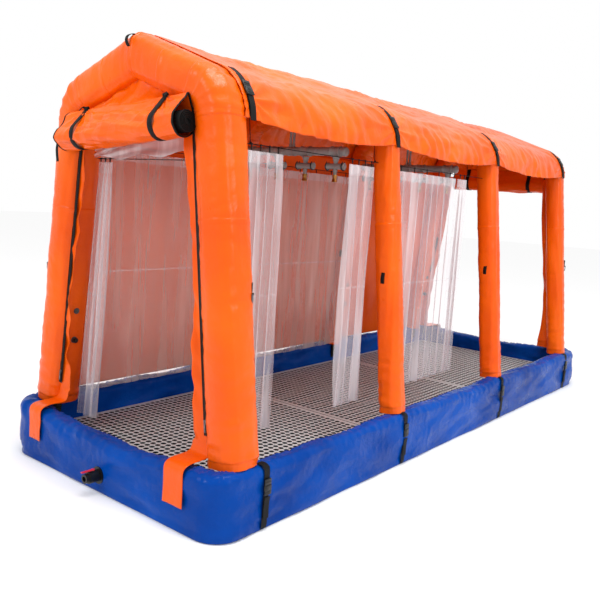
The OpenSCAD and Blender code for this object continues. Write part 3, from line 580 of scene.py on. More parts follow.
archNames = ("front", "second", "third", "rear")
for i, word in enumerate(archNames):
    piece = meshPiece(word + "ArchTube", archPart(i), orangeTarp, "tent",
                      replaces=[word + "_arch"])
print("arches made")

# roof fly

fly = {"thick": 0.0022, "off": 0.0032, "sag": 0.030, "edgeSag": 0.045, "hem": 0.030, "pull": 0.0100,
       "longFold": 0.0150, "crossFold": 0.0060, "strapFold": 0.018, "edgeFold": 0.024}
strapY = (-2.390, -0.930, 0.720, 2.350)
flyFront, flyRear = tent["archY"][0] + 0.055, tent["archY"][3] + 0.055


def slack(y):
    # 0 over each arch's tube, rising to 1 half way along the bay
    out = np.zeros_like(y)
    spans = [(tent["archY"][k] + tent["archD"][k] / 2 * 0.8,
              tent["archY"][k + 1] - tent["archD"][k + 1] / 2 * 0.8)
             for k in range(3)]
    for a, b in spans:
        t = np.clip((y - a) / (b - a), 0, 1)
        out = out + np.clip(np.sin(math.pi * t), 0, 1) ** 0.72
    return out


def flyPart():
    y = np.linspace(flyFront, flyRear, 330)
    edgeRun = roofRun + bendRun + (footPoint[1] - tent["flyEdge"]) / math.cos(lean)
    half = np.concatenate([np.linspace(0, roofRun, 58)[1:], np.linspace(roofRun, edgeRun, 44)[1:]])
    sBase = np.concatenate([-half[::-1], [0], half])
    yy, ss = np.meshgrid(y, sBase, indexing="ij")
    loose = slack(yy)
    # the lower edge hangs lower between the legs
    down = np.clip((np.abs(ss) - roofRun - bendRun * 0.35) / (edgeRun - roofRun - bendRun * 0.35), 0, 1)
    run = np.abs(ss) + down ** 1.4 * loose * fly["edgeSag"]
    x, z, nx, nz = outlineAt(run)
    side = np.sign(ss)
    soften = np.exp(-(ss / 0.05) ** 2)
    nx = nx * (1 - soften)
    lift = np.full_like(ss, fly["off"])
    roofPart = np.clip((roofRun + bendRun * 0.5 - np.abs(ss)) / 0.35, 0, 1)
    lift = lift - loose * fly["sag"] * (0.35 + 0.65 * np.clip(np.abs(ss) / 0.25, 0, 1) * roofPart)
    # long soft pulls along the bay, sharper folds towards the straps, crumpled band along the hem
    flat = np.stack([yy * 0.35, ss], -1)
    lift = lift + loose ** 0.6 * fly["pull"] * layered(flat, 0.19, 71)
    lift = lift + (0.25 + 0.75 * loose) * fly["longFold"] * creases(yy, ss, 0.15, 75, 5, 2.4)
    lift = lift + (0.15 + 0.85 * loose) * fly["crossFold"] * creases(ss, yy, 0.07, 78, 4, 2.0)
    for yk in strapY:
        for sign in (-1, 1):
            dy, ds = yy - yk, ss - sign * (roofRun + bendRun * 0.75)
            far = np.hypot(dy, ds)
            ang = np.arctan2(ds * sign, dy)
            fan = np.abs(np.sin(ang * 5.5 + 0.8 * noise(flat * 3, 0.3, 90)))
            lift = lift + fly["strapFold"] * (0.5 - fan) * np.exp(-(far / 0.32) ** 2) * np.clip(far / 0.07,
                    0, 1)
    lift = lift + down * loose ** 0.5 * fly["edgeFold"] * creases(ss * 1.3, yy, 0.10, 83, 4, 1.2)
    hemLine = np.exp(-((np.abs(ss) - (edgeRun - fly["hem"])) / 0.004) ** 2)
    lift = lift - 0.0012 * hemLine
    onTube = 1 - np.clip(loose * 3, 0, 1)
    lift = np.where(lift < fly["off"], lift * (1 - onTube) + fly["off"] * onTube, lift)
    flare = down * loose * 0.012
    points = np.stack([side * (x + (lift + flare) * nx), yy, z + lift * nz], -1)
    return gridPart(points, uv=np.stack([ss, yy], -1), flip=True)


roofFly = meshPiece("roofFlySheet", [flyPart()], orangeTarp, "tent",
                    replaces=["roof_fly"])
flyCut = (2 * (roofRun + bendRun + (footPoint[1] - tent["flyEdge"]) / math.cos(lean)), flyRear - flyFront)
clothSheet(roofFly, flyCut)
thicken(roofFly, fly["thick"])
print("fly made")

# catch basin

basin = {"corner": 0.170, "top": 0.370, "frontSag": 0.050, "hem": 0.055, "floor": 0.008, "round": 0.050,
         "wallFold": 0.0300, "gather": 0.0095, "bandFold": 0.0110}


def basinPart():
    hw, hl, rc = tent["halfW"], tent["halfL"], basin["corner"]
    # the outside run, as place and outward normal, anticlockwise from the front's left end
    path = []

    def straight(a, b, n, gap=0.020):
        count = max(2, int(np.linalg.norm(np.subtract(b, a)) / gap))
        for t in np.linspace(0, 1, count, endpoint=False):
            path.append((a[0] + (b[0] - a[0]) * t, a[1] + (b[1] - a[1]) * t, n[0], n[1]))

    def bend(cx, cy, start):
        for t in np.linspace(0, math.pi / 2, 14, endpoint=False):
            path.append((cx + rc * math.cos(start + t), cy + rc * math.sin(start + t),
                         math.cos(start + t), math.sin(start + t)))

    straight((-hw + rc, -hl), (hw - rc, -hl), (0, -1))
    bend(hw - rc, -hl + rc, -math.pi / 2)
    straight((hw, -hl + rc), (hw, hl - rc), (1, 0))
    bend(hw - rc, hl - rc, 0)
    straight((hw - rc, hl), (-hw + rc, hl), (0, 1))
    bend(-hw + rc, hl - rc, math.pi / 2)
    straight((-hw, hl - rc), (-hw, -hl + rc), (-1, 0))
    bend(-hw + rc, -hl + rc, math.pi)
    path = np.array(path)
    px, py, qx, qy = path.T
    along = np.concatenate([[0], np.hypot(np.diff(px), np.diff(py)).cumsum()])
    t, top, br = tent["wallT"], basin["top"], basin["round"]
    # the wall's section: inset from the outer side, height; bulged faces and a rolled top
    section = [(0.010, 0.0), (0.003, 0.003), (0.0, 0.010), (0.0, 0.030)]
    section += [(-0.004 * math.sin(math.pi * k / 10), 0.030 + (top - br - 0.030) * k / 10)
                for k in range(1, 10)]
    section += [(br * (1 - math.cos(a)), top - br + br * math.sin(a))
                for a in np.linspace(0, math.pi / 2, 9)]
    section += [(br + (t - 2 * br) * k / 4, top) for k in range(1, 4)]
    section += [(t - br * (1 - math.cos(a)), top - br + br * math.sin(a))
                for a in np.linspace(math.pi / 2, 0, 9)]
    section += [(t + 0.003 * math.sin(math.pi * k / 8), top - br - (top - br - 0.016) * k / 8)
                for k in range(1, 8)]
    section += [(t, 0.016), (t + 0.004, basin["floor"])]
    fine = []
    for a, b in zip(section, section[1:]):
        count = max(1, int(np.hypot(b[0] - a[0], b[1] - a[1]) / 0.012))
        fine += [(a[0] + (b[0] - a[0]) * k / count, a[1] + (b[1] - a[1]) * k / count) for k in range(count)]
    fine.append(section[-1])
    inset, height = np.array(fine).T
    girth = np.concatenate([[0], np.hypot(np.diff(inset), np.diff(height)).cumsum()])
    uu, vv = np.meshgrid(along, girth, indexing="ij")
    ins = np.repeat(inset[None], len(px), 0)
    hgt = np.repeat(height[None], len(px), 0)
    # the short walls' tops sag between the legs, the long ones a little
    onEnd = np.abs(qy)[:, None] > 0.9
    mid = np.clip(1 - (np.abs(px) / (hw - 0.22)) ** 2.6, 0, 1)[:, None]
    legs = np.array(tent["archY"])
    nearLeg = np.min(np.abs(py[:, None] - legs[None]), 1)[:, None]
    drop = np.where(onEnd, basin["frontSag"] * mid, 0.012 * np.clip((nearLeg - 0.10) / 0.4, 0, 1))
    hgt = hgt - drop * np.clip(hgt / top, 0, 1) ** 2
    flat = np.stack([uu, vv], -1)
    band = np.exp(-((hgt - (top - 0.015 - drop)) / 0.05) ** 2)
    outside = np.clip(1 - ins / 0.03, 0, 1)
    push = 0.0045 * layered(flat, 0.42, 101) + basin["wallFold"] * creases(uu, vv, 0.17, 107, 5,
            1.5) * (1 - 0.4 * band)
    # short gathers across the top band, where the wall's cloth is drawn in
    gather = np.abs(np.sin(math.pi * uu / 0.041 + 2.1 * noise(flat, 0.16, 113))) - 0.5
    push = push + basin["gather"] * gather * band * (0.6 + 0.5 * noise(flat, 0.25, 117))
    push = push + basin["bandFold"] * creases(vv * 1.5, uu, 0.055, 121, 4, 1.3) * band
    weld = np.exp(-((hgt - (top - basin["hem"] - drop)) / 0.0035) ** 2) + np.exp(-((hgt - 0.045)
            / 0.0035) ** 2)
    push = push * np.clip(hgt / 0.03, 0.0, 1) - 0.0022 * weld * outside
    push = np.minimum(push, 0.010)
    # push moves each point outwards from the middle of the wall
    dIn = np.gradient(inset, girth)
    dUp = np.gradient(height, girth)
    nOut, nUp = dUp, dIn
    ins = ins - push * nOut[None]
    hgt = np.maximum(hgt + push * nUp[None] * 0.9, 0.0)
    x = px[:, None] - ins * qx[:, None]
    y = py[:, None] - ins * qy[:, None]
    points = np.stack([x, y, hgt], -1)
    wall = gridPart(points, closeU=True, uv=flat, flip=False)
    # floor sheet inside and the underside
    ring = points[:, -1]
    floor = [ring * [1 - k, 1 - k, 1] for k in (0.0, 0.4, 0.8)]
    floorGrid = gridPart(np.stack(floor, 0), closeV=True, flip=True)
    floorCap = fanPart(floor[-1])
    under = fanPart(points[:, 0], flip=True)
    return [wall, floorGrid, floorCap, under]


basinPiece = meshPiece("basinWalls", basinPart(), blueTarp, "tent",
                       replaces=["basin_tub"])
print("basin made")

# moulded grating

grate = {"pitch": 0.047, "bar": 0.012, "depth": 0.038, "rim": 0.034}


def gratePart(node):
    low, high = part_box(node)
    w, l = high.x - low.x, high.y - low.y
    nx = int((w - 2 * grate["rim"]) / grate["pitch"])
    ny = int((l - 2 * grate["rim"]) / grate["pitch"])
    px, py = (w - 2 * grate["rim"]) / nx, (l - 2 * grate["rim"]) / ny
    ht, b = high.z, grate["bar"] / 2
    # one cell: square hole with cut corners, inside a square of bars
    c = 0.010
    hx, hy = px / 2 - b, py / 2 - b
    hole = np.array([(-hx + c, -hy), (hx - c, -hy), (hx, -hy + c), (hx, hy - c), (hx - c, hy),
                     (-hx + c, hy),
                     (-hx, hy - c), (-hx, -hy + c)])
    outer = np.array([(-px / 2 + c, -py / 2), (px / 2 - c, -py / 2), (px / 2, -py / 2 + c),
                      (px / 2, py / 2 - c),
                      (px / 2 - c, py / 2), (-px / 2 + c, py / 2), (-px / 2, py / 2 - c), (-px / 2,
                              -py / 2 + c)])
    corner = np.array([(px / 2, -py / 2), (px / 2, py / 2), (-px / 2, py / 2), (-px / 2, -py / 2)])
    ringIn = np.c_[hole, np.full(8, ht - 0.0015)]
    ringUp = np.c_[hole * 1.07, np.full(8, ht)]
    ringOut = np.c_[outer, np.full(8, ht)]
    ringLow = np.c_[hole, np.full(8, ht - grate["depth"])]
    cornerTop = np.c_[corner, np.full(4, ht)]
    points = np.vstack([ringOut, ringUp, ringIn, ringLow, cornerTop])
    faces = []
    for k in range(8):
        n = (k + 1) % 8
        faces += [[k, n, 8 + n, 8 + k], [8 + k, 8 + n, 16 + n, 16 + k], [16 + k, 16 + n, 24 + n, 24 + k]]
    for k in range(4):
        faces.append([2 * k + 1, 32 + k, 2 * k + 2 if k < 3 else 0 + (2 * k + 2) % 8])
    cells, allFaces, start = [], [], 0
    for i in range(nx):
        for j in range(ny):
            at = np.array([low.x + grate["rim"] + (i + 0.5) * px, low.y + grate["rim"] + (j + 0.5) * py, 0])
            cells.append(points + at)
            allFaces += [[v + start for v in f] for f in faces]
            start += len(points)
    mesh = (np.vstack(cells), allFaces, np.vstack(cells)[:, :2])
    rim = []
    e, z0, z1 = grate["rim"], ht - grate["depth"], ht + 0.0
    for a, b2 in (((low.x, low.y), (high.x, low.y + e)), ((low.x, high.y - e), (high.x, high.y)),
                  ((low.x, low.y + e), (low.x + e, high.y - e)), ((high.x - e, low.y + e),
                          (high.x, high.y - e))):
        rim.append(boxPart((a[0], a[1], z0), (b2[0], b2[1], z1), 0.003))
    return [mesh] + rim


for word, body in (("front", "deck_front"), ("middle", "deck_middle"), ("rear", "deck_rear")):
    meshPiece("grating" + word.title(), gratePart("grating_" + word), gratePlastic, body, smooth=False,
              replaces=["grating_" + word])
print("grating made")

# straps and buckles

strap = {"wide": 0.045, "thick": 0.0022}


def ribbonPart(path, wideAxis, wide, thick, out, flip=False):
    # a flat strap: path is the centre line of its inner face, out the outward normals
    path, out = np.asarray(path, float), np.asarray(out, float)
    wideAxis = np.asarray(wideAxis, float)
    if wideAxis.ndim == 1:
        wideAxis = np.repeat(wideAxis[None], len(path), 0)
    e = thick * 0.35
    ring = [(-wide / 2, e), (-wide / 2 + e, 0), (0, 0), (wide / 2 - e, 0), (wide / 2, e),
            (wide / 2, thick - e),
            (wide / 2 - e, thick), (0, thick), (-wide / 2 + e, thick), (-wide / 2, thick - e)]
    points = np.stack([path + a * wideAxis + b * out for a, b in ring], 1)
    run = np.concatenate([[0], np.linalg.norm(np.diff(path, axis=0), axis=1).cumsum()])
    across = np.array([a for a, b in ring])
    uv = np.stack(np.meshgrid(run, across, indexing="ij"), -1)
    side = gridPart(points, closeV=True, uv=uv, flip=flip)
    return [side, fanPart(points[0], flip=not flip), fanPart(points[-1], flip=flip)]


def smoothPath(points, gap=0.008):
    # a smooth line through a few points
    p = np.asarray(points, float)
    d = np.concatenate([[0], np.linalg.norm(np.diff(p, axis=0), axis=1).cumsum()])
    ext = np.vstack([2 * p[0] - p[1], p, 2 * p[-1] - p[-2]])
    out = []
    for k in range(len(p) - 1):
        a, b, c, e = ext[k:k + 4]
        count = max(2, int((d[k + 1] - d[k]) / gap))
        for t in np.linspace(0, 1, count, endpoint=False):
            out.append(0.5 * (2 * b + (c - a) * t + (2 * a - 5 * b + 4 * c - e) * t ** 2
                              + (3 * b - a - 3 * c + e) * t ** 3))
    out.append(p[-1])
    return np.array(out)


def pathNormals(path, wideAxis):
    tangent = np.gradient(path, axis=0)
    n = np.cross(np.asarray(wideAxis, float), tangent)
    return n / np.linalg.norm(n, axis=1)[:, None]


def buckleParts():
    # side-release buckle, lying in x (across) and y (along the strap), standing up in z
    body = [(-0.0255, -0.044), (0.0255, -0.044), (0.0275, -0.040), (0.0275, -0.012), (0.0225, -0.006),
            (0.0225, 0.010), (-0.0225, 0.010), (-0.0225, -0.006), (-0.0275, -0.012), (-0.0275, -0.040)]
    parts = [platePart(body, 0.002, 0.0125, 0.0016)]
    for side in (-1, 1):
        ear = [(0.0235, -0.014), (0.0292, -0.018), (0.0295, 0.002), (0.0270, 0.012), (0.0225, 0.014)]
        ear = [(side * x, y) for x, y in (ear if side > 0 else ear[::-1])]
        parts.append(platePart(ear, 0.0035, 0.0110, 0.0014))
    male = [(-0.0250, 0.0125), (0.0250, 0.0125), (0.0265, 0.018), (0.0265, 0.044), (0.0240, 0.047),
            (-0.0240, 0.047), (-0.0265, 0.044), (-0.0265, 0.018)]
    parts.append(platePart(male, 0.0025, 0.0110, 0.0016))
    parts.append(boxPart((-0.0225, 0.0260, 0.0108), (0.0225, 0.0310, 0.0135), 0.0010))
    parts.append(boxPart((-0.0225, -0.0300, 0.0122), (0.0225, -0.0255, 0.0148), 0.0010))
    parts.append(boxPart((-0.0215, -0.0405, 0.0122), (0.0215, -0.0370, 0.0140), 0.0010))
    parts.append(platePart([(-0.010, -0.018), (0.010, -0.018), (0.014, 0.004), (-0.014, 0.004)], 0.0120,
                           0.0138, 0.0007))
    return parts


def wallStraps():
    straps, buckles = [], []
    for k, y in enumerate(strapY):
        x0 = tent["halfW"] + 0.007
        lineUp = [(0.945, y, 0.373), (0.972, y, 0.3745), (x0 - 0.010, y, 0.366), (x0 + 0.002, y, 0.345),
                  (x0 + 0.003, y, 0.25), (x0 + 0.001, y, 0.12), (x0 - 0.001, y, 0.02), (x0 - 0.014, y,
                          0.003)]
        path = smoothPath(lineUp)
        across = np.array([0, 1.0, 0])
        for part in ribbonPart(path, across, strap["wide"], strap["thick"],
                               -pathNormals(path, across) * -1):
            straps.append(part)
        # the loose end doubled back below the buckle
        tail = smoothPath([(x0 + 0.016, y, 0.196), (x0 + 0.012, y, 0.175), (x0 + 0.009, y, 0.12),
                           (x0 + 0.010, y, 0.070)])
        straps += ribbonPart(tail, across, strap["wide"] * 0.98, strap["thick"], pathNormals(tail, across))
        place = basis((x0 + 0.0035, y, 0.252), (0, 1, 0), (0, 0, 1), (1, 0, 0))
        buckles += [movedPart(p, place) for p in buckleParts()]
        ya = tent["archY"][k]
        xi = tent["halfW"] - tent["wallT"] - 0.008
        inner = smoothPath([(0.915, ya + 0.0, 0.3735), (xi + 0.022, ya, 0.372), (xi + 0.003, ya, 0.352),
                            (xi - 0.002, ya, 0.30), (xi - 0.001, ya, 0.205)])
        straps += ribbonPart(inner, across, strap["wide"], strap["thick"], pathNormals(inner, across) * -1)
        placeIn = basis((xi - 0.004, ya, 0.283), (0, 1, 0), (0, 0, -1), (-1, 0, 0))
        buckles += [movedPart(p, placeIn) for p in buckleParts()]
    return straps + [mirrored(p) for p in straps], buckles + [mirrored(p) for p in buckles]


strapParts, buckleSet = wallStraps()
meshPiece("basinStrapSet", strapParts, webbing, "tent", angle=40,
          replaces=["basin_straps"])
meshPiece("basinBuckleSet", buckleSet, acetal, "tent", angle=35,
          replaces=["basin_buckles"])


def shoulderStraps():
    straps, buckles = [], []
    for y in strapY:
        across = np.array([0, 1.0, 0])
        top, low = roofRun + bendRun * 0.10, roofRun + bendRun + 0.012
        s = np.linspace(top, low, 34)
        x, z, nx, nz = outlineAt(s)
        off = 0.0075 + 0.004 * np.clip((s - roofRun - bendRun) / 0.05, 0, 1)
        path = np.stack([x + off * nx, np.full_like(s, y), z + off * nz], -1)
        out = np.stack([nx, 0 * nx, nz], -1)
        straps += ribbonPart(path, across, strap["wide"], strap["thick"], out, flip=True)
        # loose end hanging from the buckle, below the fly's edge
        x1, z1, n1, n2 = outlineAt(np.array([roofRun + bendRun * 0.72, roofRun + bendRun - 0.040,
                                             roofRun + bendRun + 0.030]))
        tail = smoothPath([(x1[k] + (0.016, 0.016, 0.014)[k] * n1[k], y, z1[k] + 0.010 * n2[k])
                           for k in range(3)])
        straps += ribbonPart(tail, across, strap["wide"] * 0.97, strap["thick"],
                             -pathNormals(tail, across), flip=True)
        mid = roofRun + bendRun * 0.60
        xb, zb, na, nb = (float(v) for v in outlineAt(mid))
        place = basis((xb + 0.0085 * na, y, zb + 0.0085 * nb), (0, -1, 0), (-nb, 0, na), (na, 0, nb))
        buckles += [movedPart(p, place) for p in buckleParts()]
    return straps + [mirrored(p) for p in straps], buckles + [mirrored(p) for p in buckles]


strapParts, buckleSet = shoulderStraps()
meshPiece("flyStrapSet", strapParts, webbing, "tent", angle=40,
          replaces=["fly_straps"])
meshPiece("flyBuckleSet", buckleSet, acetal, "tent", angle=35,
          replaces=["fly_buckles"])
print("straps made")

# gables, rolled doors

gable = {"off": (-0.050, 0.0255), "thick": 0.0020, "strapFold": 0.016, "fold": 0.024}
roll = {"half": 0.540, "radius": 0.082, "height": 2.135, "core": 0.058, "coreOut": 0.028, "turns": 5,
        "strapX": 0.360, "droop": math.radians(4.0), "rise": 0.150, "back": 0.032, "sag": 0.010,
        "strapFold": 0.017, "sweepFold": 0.0100, "fold": 0.020}
rollY = {"front": -2.665, "rear": 2.513}


def rollFrame(word, part):
    # the front roll droops towards the left
    turnBack = Matrix.Rotation(-roll["droop"] if word == "front" else 0, 4, "Y")
    return movedPart(part, Matrix.Translation((0, rollY[word], roll["height"])) @ turnBack)


def flapOutline(way, off, count):
    # round the roll and up to the flap's top, starting there; distances from the roll's middle
    a = np.linspace(math.pi / 2, math.pi / 2 + 2 * math.pi, 2000)
    big, small = roll["radius"] + off, 0.004 + off
    n = np.stack([np.cos(a), np.sin(a)], -1)
    top = np.array([way * roll["back"], roll["rise"]])
    pick = (n @ top + small > big)[:, None]
    line = np.where(pick, top + small * n, big * n)
    run = np.concatenate([[0], np.linalg.norm(np.diff(line, axis=0), axis=1).cumsum()])
    at = np.linspace(0, run[-1], count)
    p = np.stack([np.interp(at, run, line[:, k]) for k in (0, 1)], -1)
    t = np.gradient(p, axis=0)
    t[0] = t[-1] = (1, 0)
    return p, np.stack([t[:, 1], -t[:, 0]], -1) / np.linalg.norm(t, axis=1)[:, None], at


def flapPart(word, seed):
    way = 1 if word == "front" else -1
    line, out, run = flapOutline(way, -0.006, 170)
    x = np.linspace(-roll["half"], roll["half"], 190)
    xx, rr = np.meshgrid(x, run, indexing="ij")
    whole = run[-1]
    # distance down the outer face from the flap's top, whichever way round that face lies
    down = rr if way > 0 else whole - rr
    front = np.clip(down / 0.05, 0, 1) * np.clip((whole * 0.62 - down) / 0.08, 0, 1)
    flat = np.stack([xx * 0.7, down], -1)
    near = sum(np.exp(-((np.abs(xx - s * roll["strapX"])) / 0.030) ** 2) for s in (-1, 1))
    push = -0.007 * near
    for s in (-1, 1):
        dx = xx - s * roll["strapX"]
        far = np.hypot(dx, down)
        fan = np.abs(np.sin(np.arctan2(down + 0.004, dx) * 6.5 + 1.2 * noise(flat, 0.12, seed + s))) ** 0.8
        push = push + roll["strapFold"] * (0.45 - fan) * np.exp(-(far / 0.17) ** 2) * np.clip(far / 0.03,
                0, 1)
        # folds run out sideways from each strap
        side = np.abs(np.sin(down * 62 + 1.4 * noise(flat, 0.10, seed + 5)))
        push = push + 0.010 * (0.4 - side) * np.exp(-(np.abs(dx) / 0.085)) * np.clip(np.abs(dx) / 0.022
                - 0.6, 0, 1)
    sweep = (down - 0.45 * (xx + roll["half"]) * 0.34) / 0.085 + 0.6 * noise(flat, 0.22, seed + 9)
    push = push + roll["sweepFold"] * (np.abs(sweep - np.floor(sweep) - 0.5) * 2
                                       - 0.5) * np.exp(-(xx / 0.34) ** 4)
    push = push + roll["fold"] * creases(xx, down, 0.085, seed + 12, 5, 2.2)
    push = push * (0.25 + 0.75 * front) + 0.004
    sag = -roll["sag"] * (1 - (xx / roll["half"]) ** 2) * np.clip(down / 0.1, 0, 1)
    points = np.stack([xx, line[None, :, 0] + push * out[None, :, 0],
                       line[None, :, 1] + push * out[None, :, 1] + sag], -1)
    return gridPart(points), points


def corePart(word, side):
    # the rolled-up edge: tape and binding wound in a spiral
    a = np.linspace(0, 2 * math.pi * roll["turns"], 220)
    r0 = 0.012
    radius = r0 + (roll["core"] - r0) * a / a[-1]
    x = np.linspace(roll["half"] - 0.06, roll["half"] + roll["coreOut"], 8)
    wall = []
    for grow in (0.0, 0.0042):
        rr, xx = np.meshgrid(radius + grow, x, indexing="ij")
        aa = np.repeat(a[:, None], len(x), 1)
        wall.append(np.stack([side * xx, rr * np.cos(aa), rr * np.sin(aa)], -1))
    parts = [gridPart(wall[0]), gridPart(wall[1])]
    lip = np.stack([wall[0][:, -1], wall[1][:, -1]], 1)
    parts.append(gridPart(lip))
    ring = [(side * (roll["half"] + roll["coreOut"] - 0.010), (roll["core"] - 0.001) * math.cos(t),
             (roll["core"] - 0.001) * math.sin(t)) for t in np.linspace(0, 2 * math.pi, 60, endpoint=False)]
    parts.append(fanPart(ring))
    return [rollFrame(word, p) for p in parts]


def edgeTape(points, index, wide=0.010):
    # black binding folded over one end of the flap
    line = points[index]
    inward = points[index - 1 if index < 0 else index + 1] - line
    inward = inward / np.linalg.norm(inward, axis=1)[:, None]
    normal = np.cross(np.gradient(line, axis=0), inward)
    normal = normal / np.linalg.norm(normal, axis=1)[:, None]
    ring = [(-0.0015, 0.0022), (wide, 0.0022), (wide, -0.0022), (-0.0015, -0.0022)]
    p = np.stack([line + a * inward + b * normal for a, b in ring], 1)
    return gridPart(p, closeV=True)


def gablePart(index):
    r = tent["archD"][index] / 2
    front = index == 0
    y0 = tent["archY"][index] + gable["off"][0 if front else 1]
    y1 = rollY["front" if front else "rear"] + (roll["back"] if front else -roll["back"])
    inset = r + math.sqrt(r * r - (gable["off"][0 if front else 1]) ** 2) - 0.006
    s = np.linspace(0.0, fullRun, 1200)
    x, z, nx, nz = outlineAt(s)
    xi, zi = x - inset * nx, z - inset * nz
    slope = math.tan(roll["droop"]) if front else 0.0
    foot = roll["height"] + roll["rise"] - 0.006
    keep = (xi > -0.001) & (zi > foot - 0.03)
    xi, zi = xi[keep], zi[keep]
    width = float(xi.max())
    order = np.argsort(xi)
    u = np.linspace(-1, 1, 150)
    v = np.linspace(0, 1, 50)
    uu, vv = np.meshgrid(u, v, indexing="ij")
    px = uu * width
    low = foot + slope * px
    top = np.interp(np.abs(px), xi[order], zi[order])
    high = np.maximum(top, low + 0.004)
    pz = high + (low - high) * vv
    inside = np.clip((1 - np.abs(uu)) / 0.12, 0, 1) * np.clip(vv / 0.12, 0, 1) * np.clip((1 - vv) / 0.06,
            0, 1)
    py = y0 + (y1 - y0) * (0.35 * vv + 0.65 * vv ** 1.8)
    flat = np.stack([px, pz], -1)
    push = 0.012 * layered(flat, 0.3, 210 + index)
    for side in (-1, 1):
        far = np.hypot(px - side * roll["strapX"], pz - low)
        fan = np.abs(np.sin(np.arctan2(pz - low + 0.002, px - side * roll["strapX"]) * 7
                            + noise(flat, 0.12, 219 + index)))
        push = push + gable["strapFold"] * (0.45 - fan) * np.exp(-(far / 0.26) ** 2)
    push = push + gable["fold"] * creases(pz, px, 0.10, 215 + index, 4, 1.6)
    out = -1 if front else 1
    # the cut follows the smooth panel, before any folds: its slanted height summed across its width
    tall = np.hypot(high[:, 0] - low[:, 0], y1 - y0)
    area = float(((tall[1:] + tall[:-1]) / 2 * np.diff(px[:, 0])).sum())
    return gridPart(np.stack([px, py + out * push * inside, pz], -1)), (2 * width, float(tall.max())), area


for index, node, word in ((0, "front_gable", "front"), (3, "rear_gable", "rear")):
    part, cut, area = gablePart(index)
    sheet = meshPiece(word + "GableSheet", [part], orangeTarp, "tent",
                      replaces=[node])
    clothSheet(sheet, cut)
    thicken(sheet, gable["thick"])

rollTapes, coreParts = [], []
for word, seed in (("front", 300), ("rear", 340)):
    flap, points = flapPart(word, seed)
    piece = meshPiece(word + "DoorFlap", [rollFrame(word, flap)], orangeTarp, "tent",
                      replaces=[word + "_door_roll"])
    girth = float(flapOutline(1, 0.0, 170)[2][-1])
    clothSheet(piece, (2 * roll["half"], girth))
    thicken(piece, 0.0018)
    rollTapes += [rollFrame(word, edgeTape(points, k)) for k in (0, -1)]
    for side in (-1, 1):
        coreParts += corePart(word, side)
meshPiece("flapBinding", rollTapes, webbing, "tent")
meshPiece("rolledDoorEnds", coreParts, zipCloth, "tent")


def rollStrapParts():
    parts = []
    for word in ("front", "rear"):
        way = 1 if word == "front" else -1
        line, out, run = flapOutline(way, 0.0005, 150)
        for side in (-1, 1):
            x = side * roll["strapX"]
            path = np.stack([np.full(len(line), x), line[:, 0], line[:, 1]], -1)
            path[:, 2] -= 0.004
            normal = np.stack([0 * run, out[:, 0], out[:, 1]], -1)
            parts += [rollFrame(word, p) for p in
                      ribbonPart(path, np.array([1.0, 0, 0]), 0.040, 0.0024, normal, flip=True)]
            # the strap's end knotted through a loop at the top, and its loose tail
            top = np.array([x, way * roll["back"], roll["rise"]])
            knot = boxPart((-0.017, -0.011, -0.006), (0.017, 0.011, 0.018), 0.006, 3)
            parts.append(rollFrame(word, movedPart(knot,
                                                   Matrix.Translation(top) @ Matrix.Rotation(0.35, 4,
                                                           "X"))))
            across = np.array([0.97, 0, 0.24])
            tail = smoothPath([top + (side * 0.004, -way * 0.006, 0.010),
                               top + (side * 0.020, -way * 0.020, 0.016),
                               top + (side * 0.030, -way * 0.032, -0.004)])
            parts += [rollFrame(word, p) for p in ribbonPart(tail, across, 0.022, 0.002,
                                                             pathNormals(tail, across))]
    # a short tab that hangs from the front roll's left end
    tabX = -roll["half"] - 0.020
    hang = smoothPath([(tabX, -0.045, -0.030), (tabX - 0.002, -0.052, -0.080), (tabX, -0.050, -0.150)])
    parts += [rollFrame("front", p) for p in ribbonPart(hang, np.array([1.0, 0, 0]), 0.026, 0.003,
                                                        pathNormals(hang, np.array([1.0, 0, 0])))]
    # a lifting loop at the front arch's peak
    loop = smoothPath([(0, -2.575, 2.668), (0, -2.600, 2.672), (0, -2.632, 2.655), (0, -2.641, 2.628),
                       (0, -2.630, 2.604), (0, -2.619, 2.598)])
    parts += ribbonPart(loop, np.array([1.0, 0, 0]), 0.026, 0.003, pathNormals(loop, np.array([1.0, 0, 0])))
    return parts


meshPiece("rollStrapSet", rollStrapParts(), webbing, "tent", angle=50,
          replaces=["roll_straps"])
print("gables and rolls made")

# jamb strips and zips

jamb = {"y": (-2.561, 2.410), "inset": (0.2332, 0.1620), "wide": 0.086, "top": 2.148, "thick": 0.0020,
        "tailLow": (0.150, 0.155), "swing": 0.012, "fold": 0.024, "curl": 0.016}


def legPoint(up, inset):
    # a point beside the right leg: up the leg from the wall's top, inset from its outer face
    x = tent["baseX"] - inset / math.cos(lean) - np.asarray(up) * math.sin(lean)
    return x, tent["wallTop"] + np.asarray(up) * math.cos(lean)


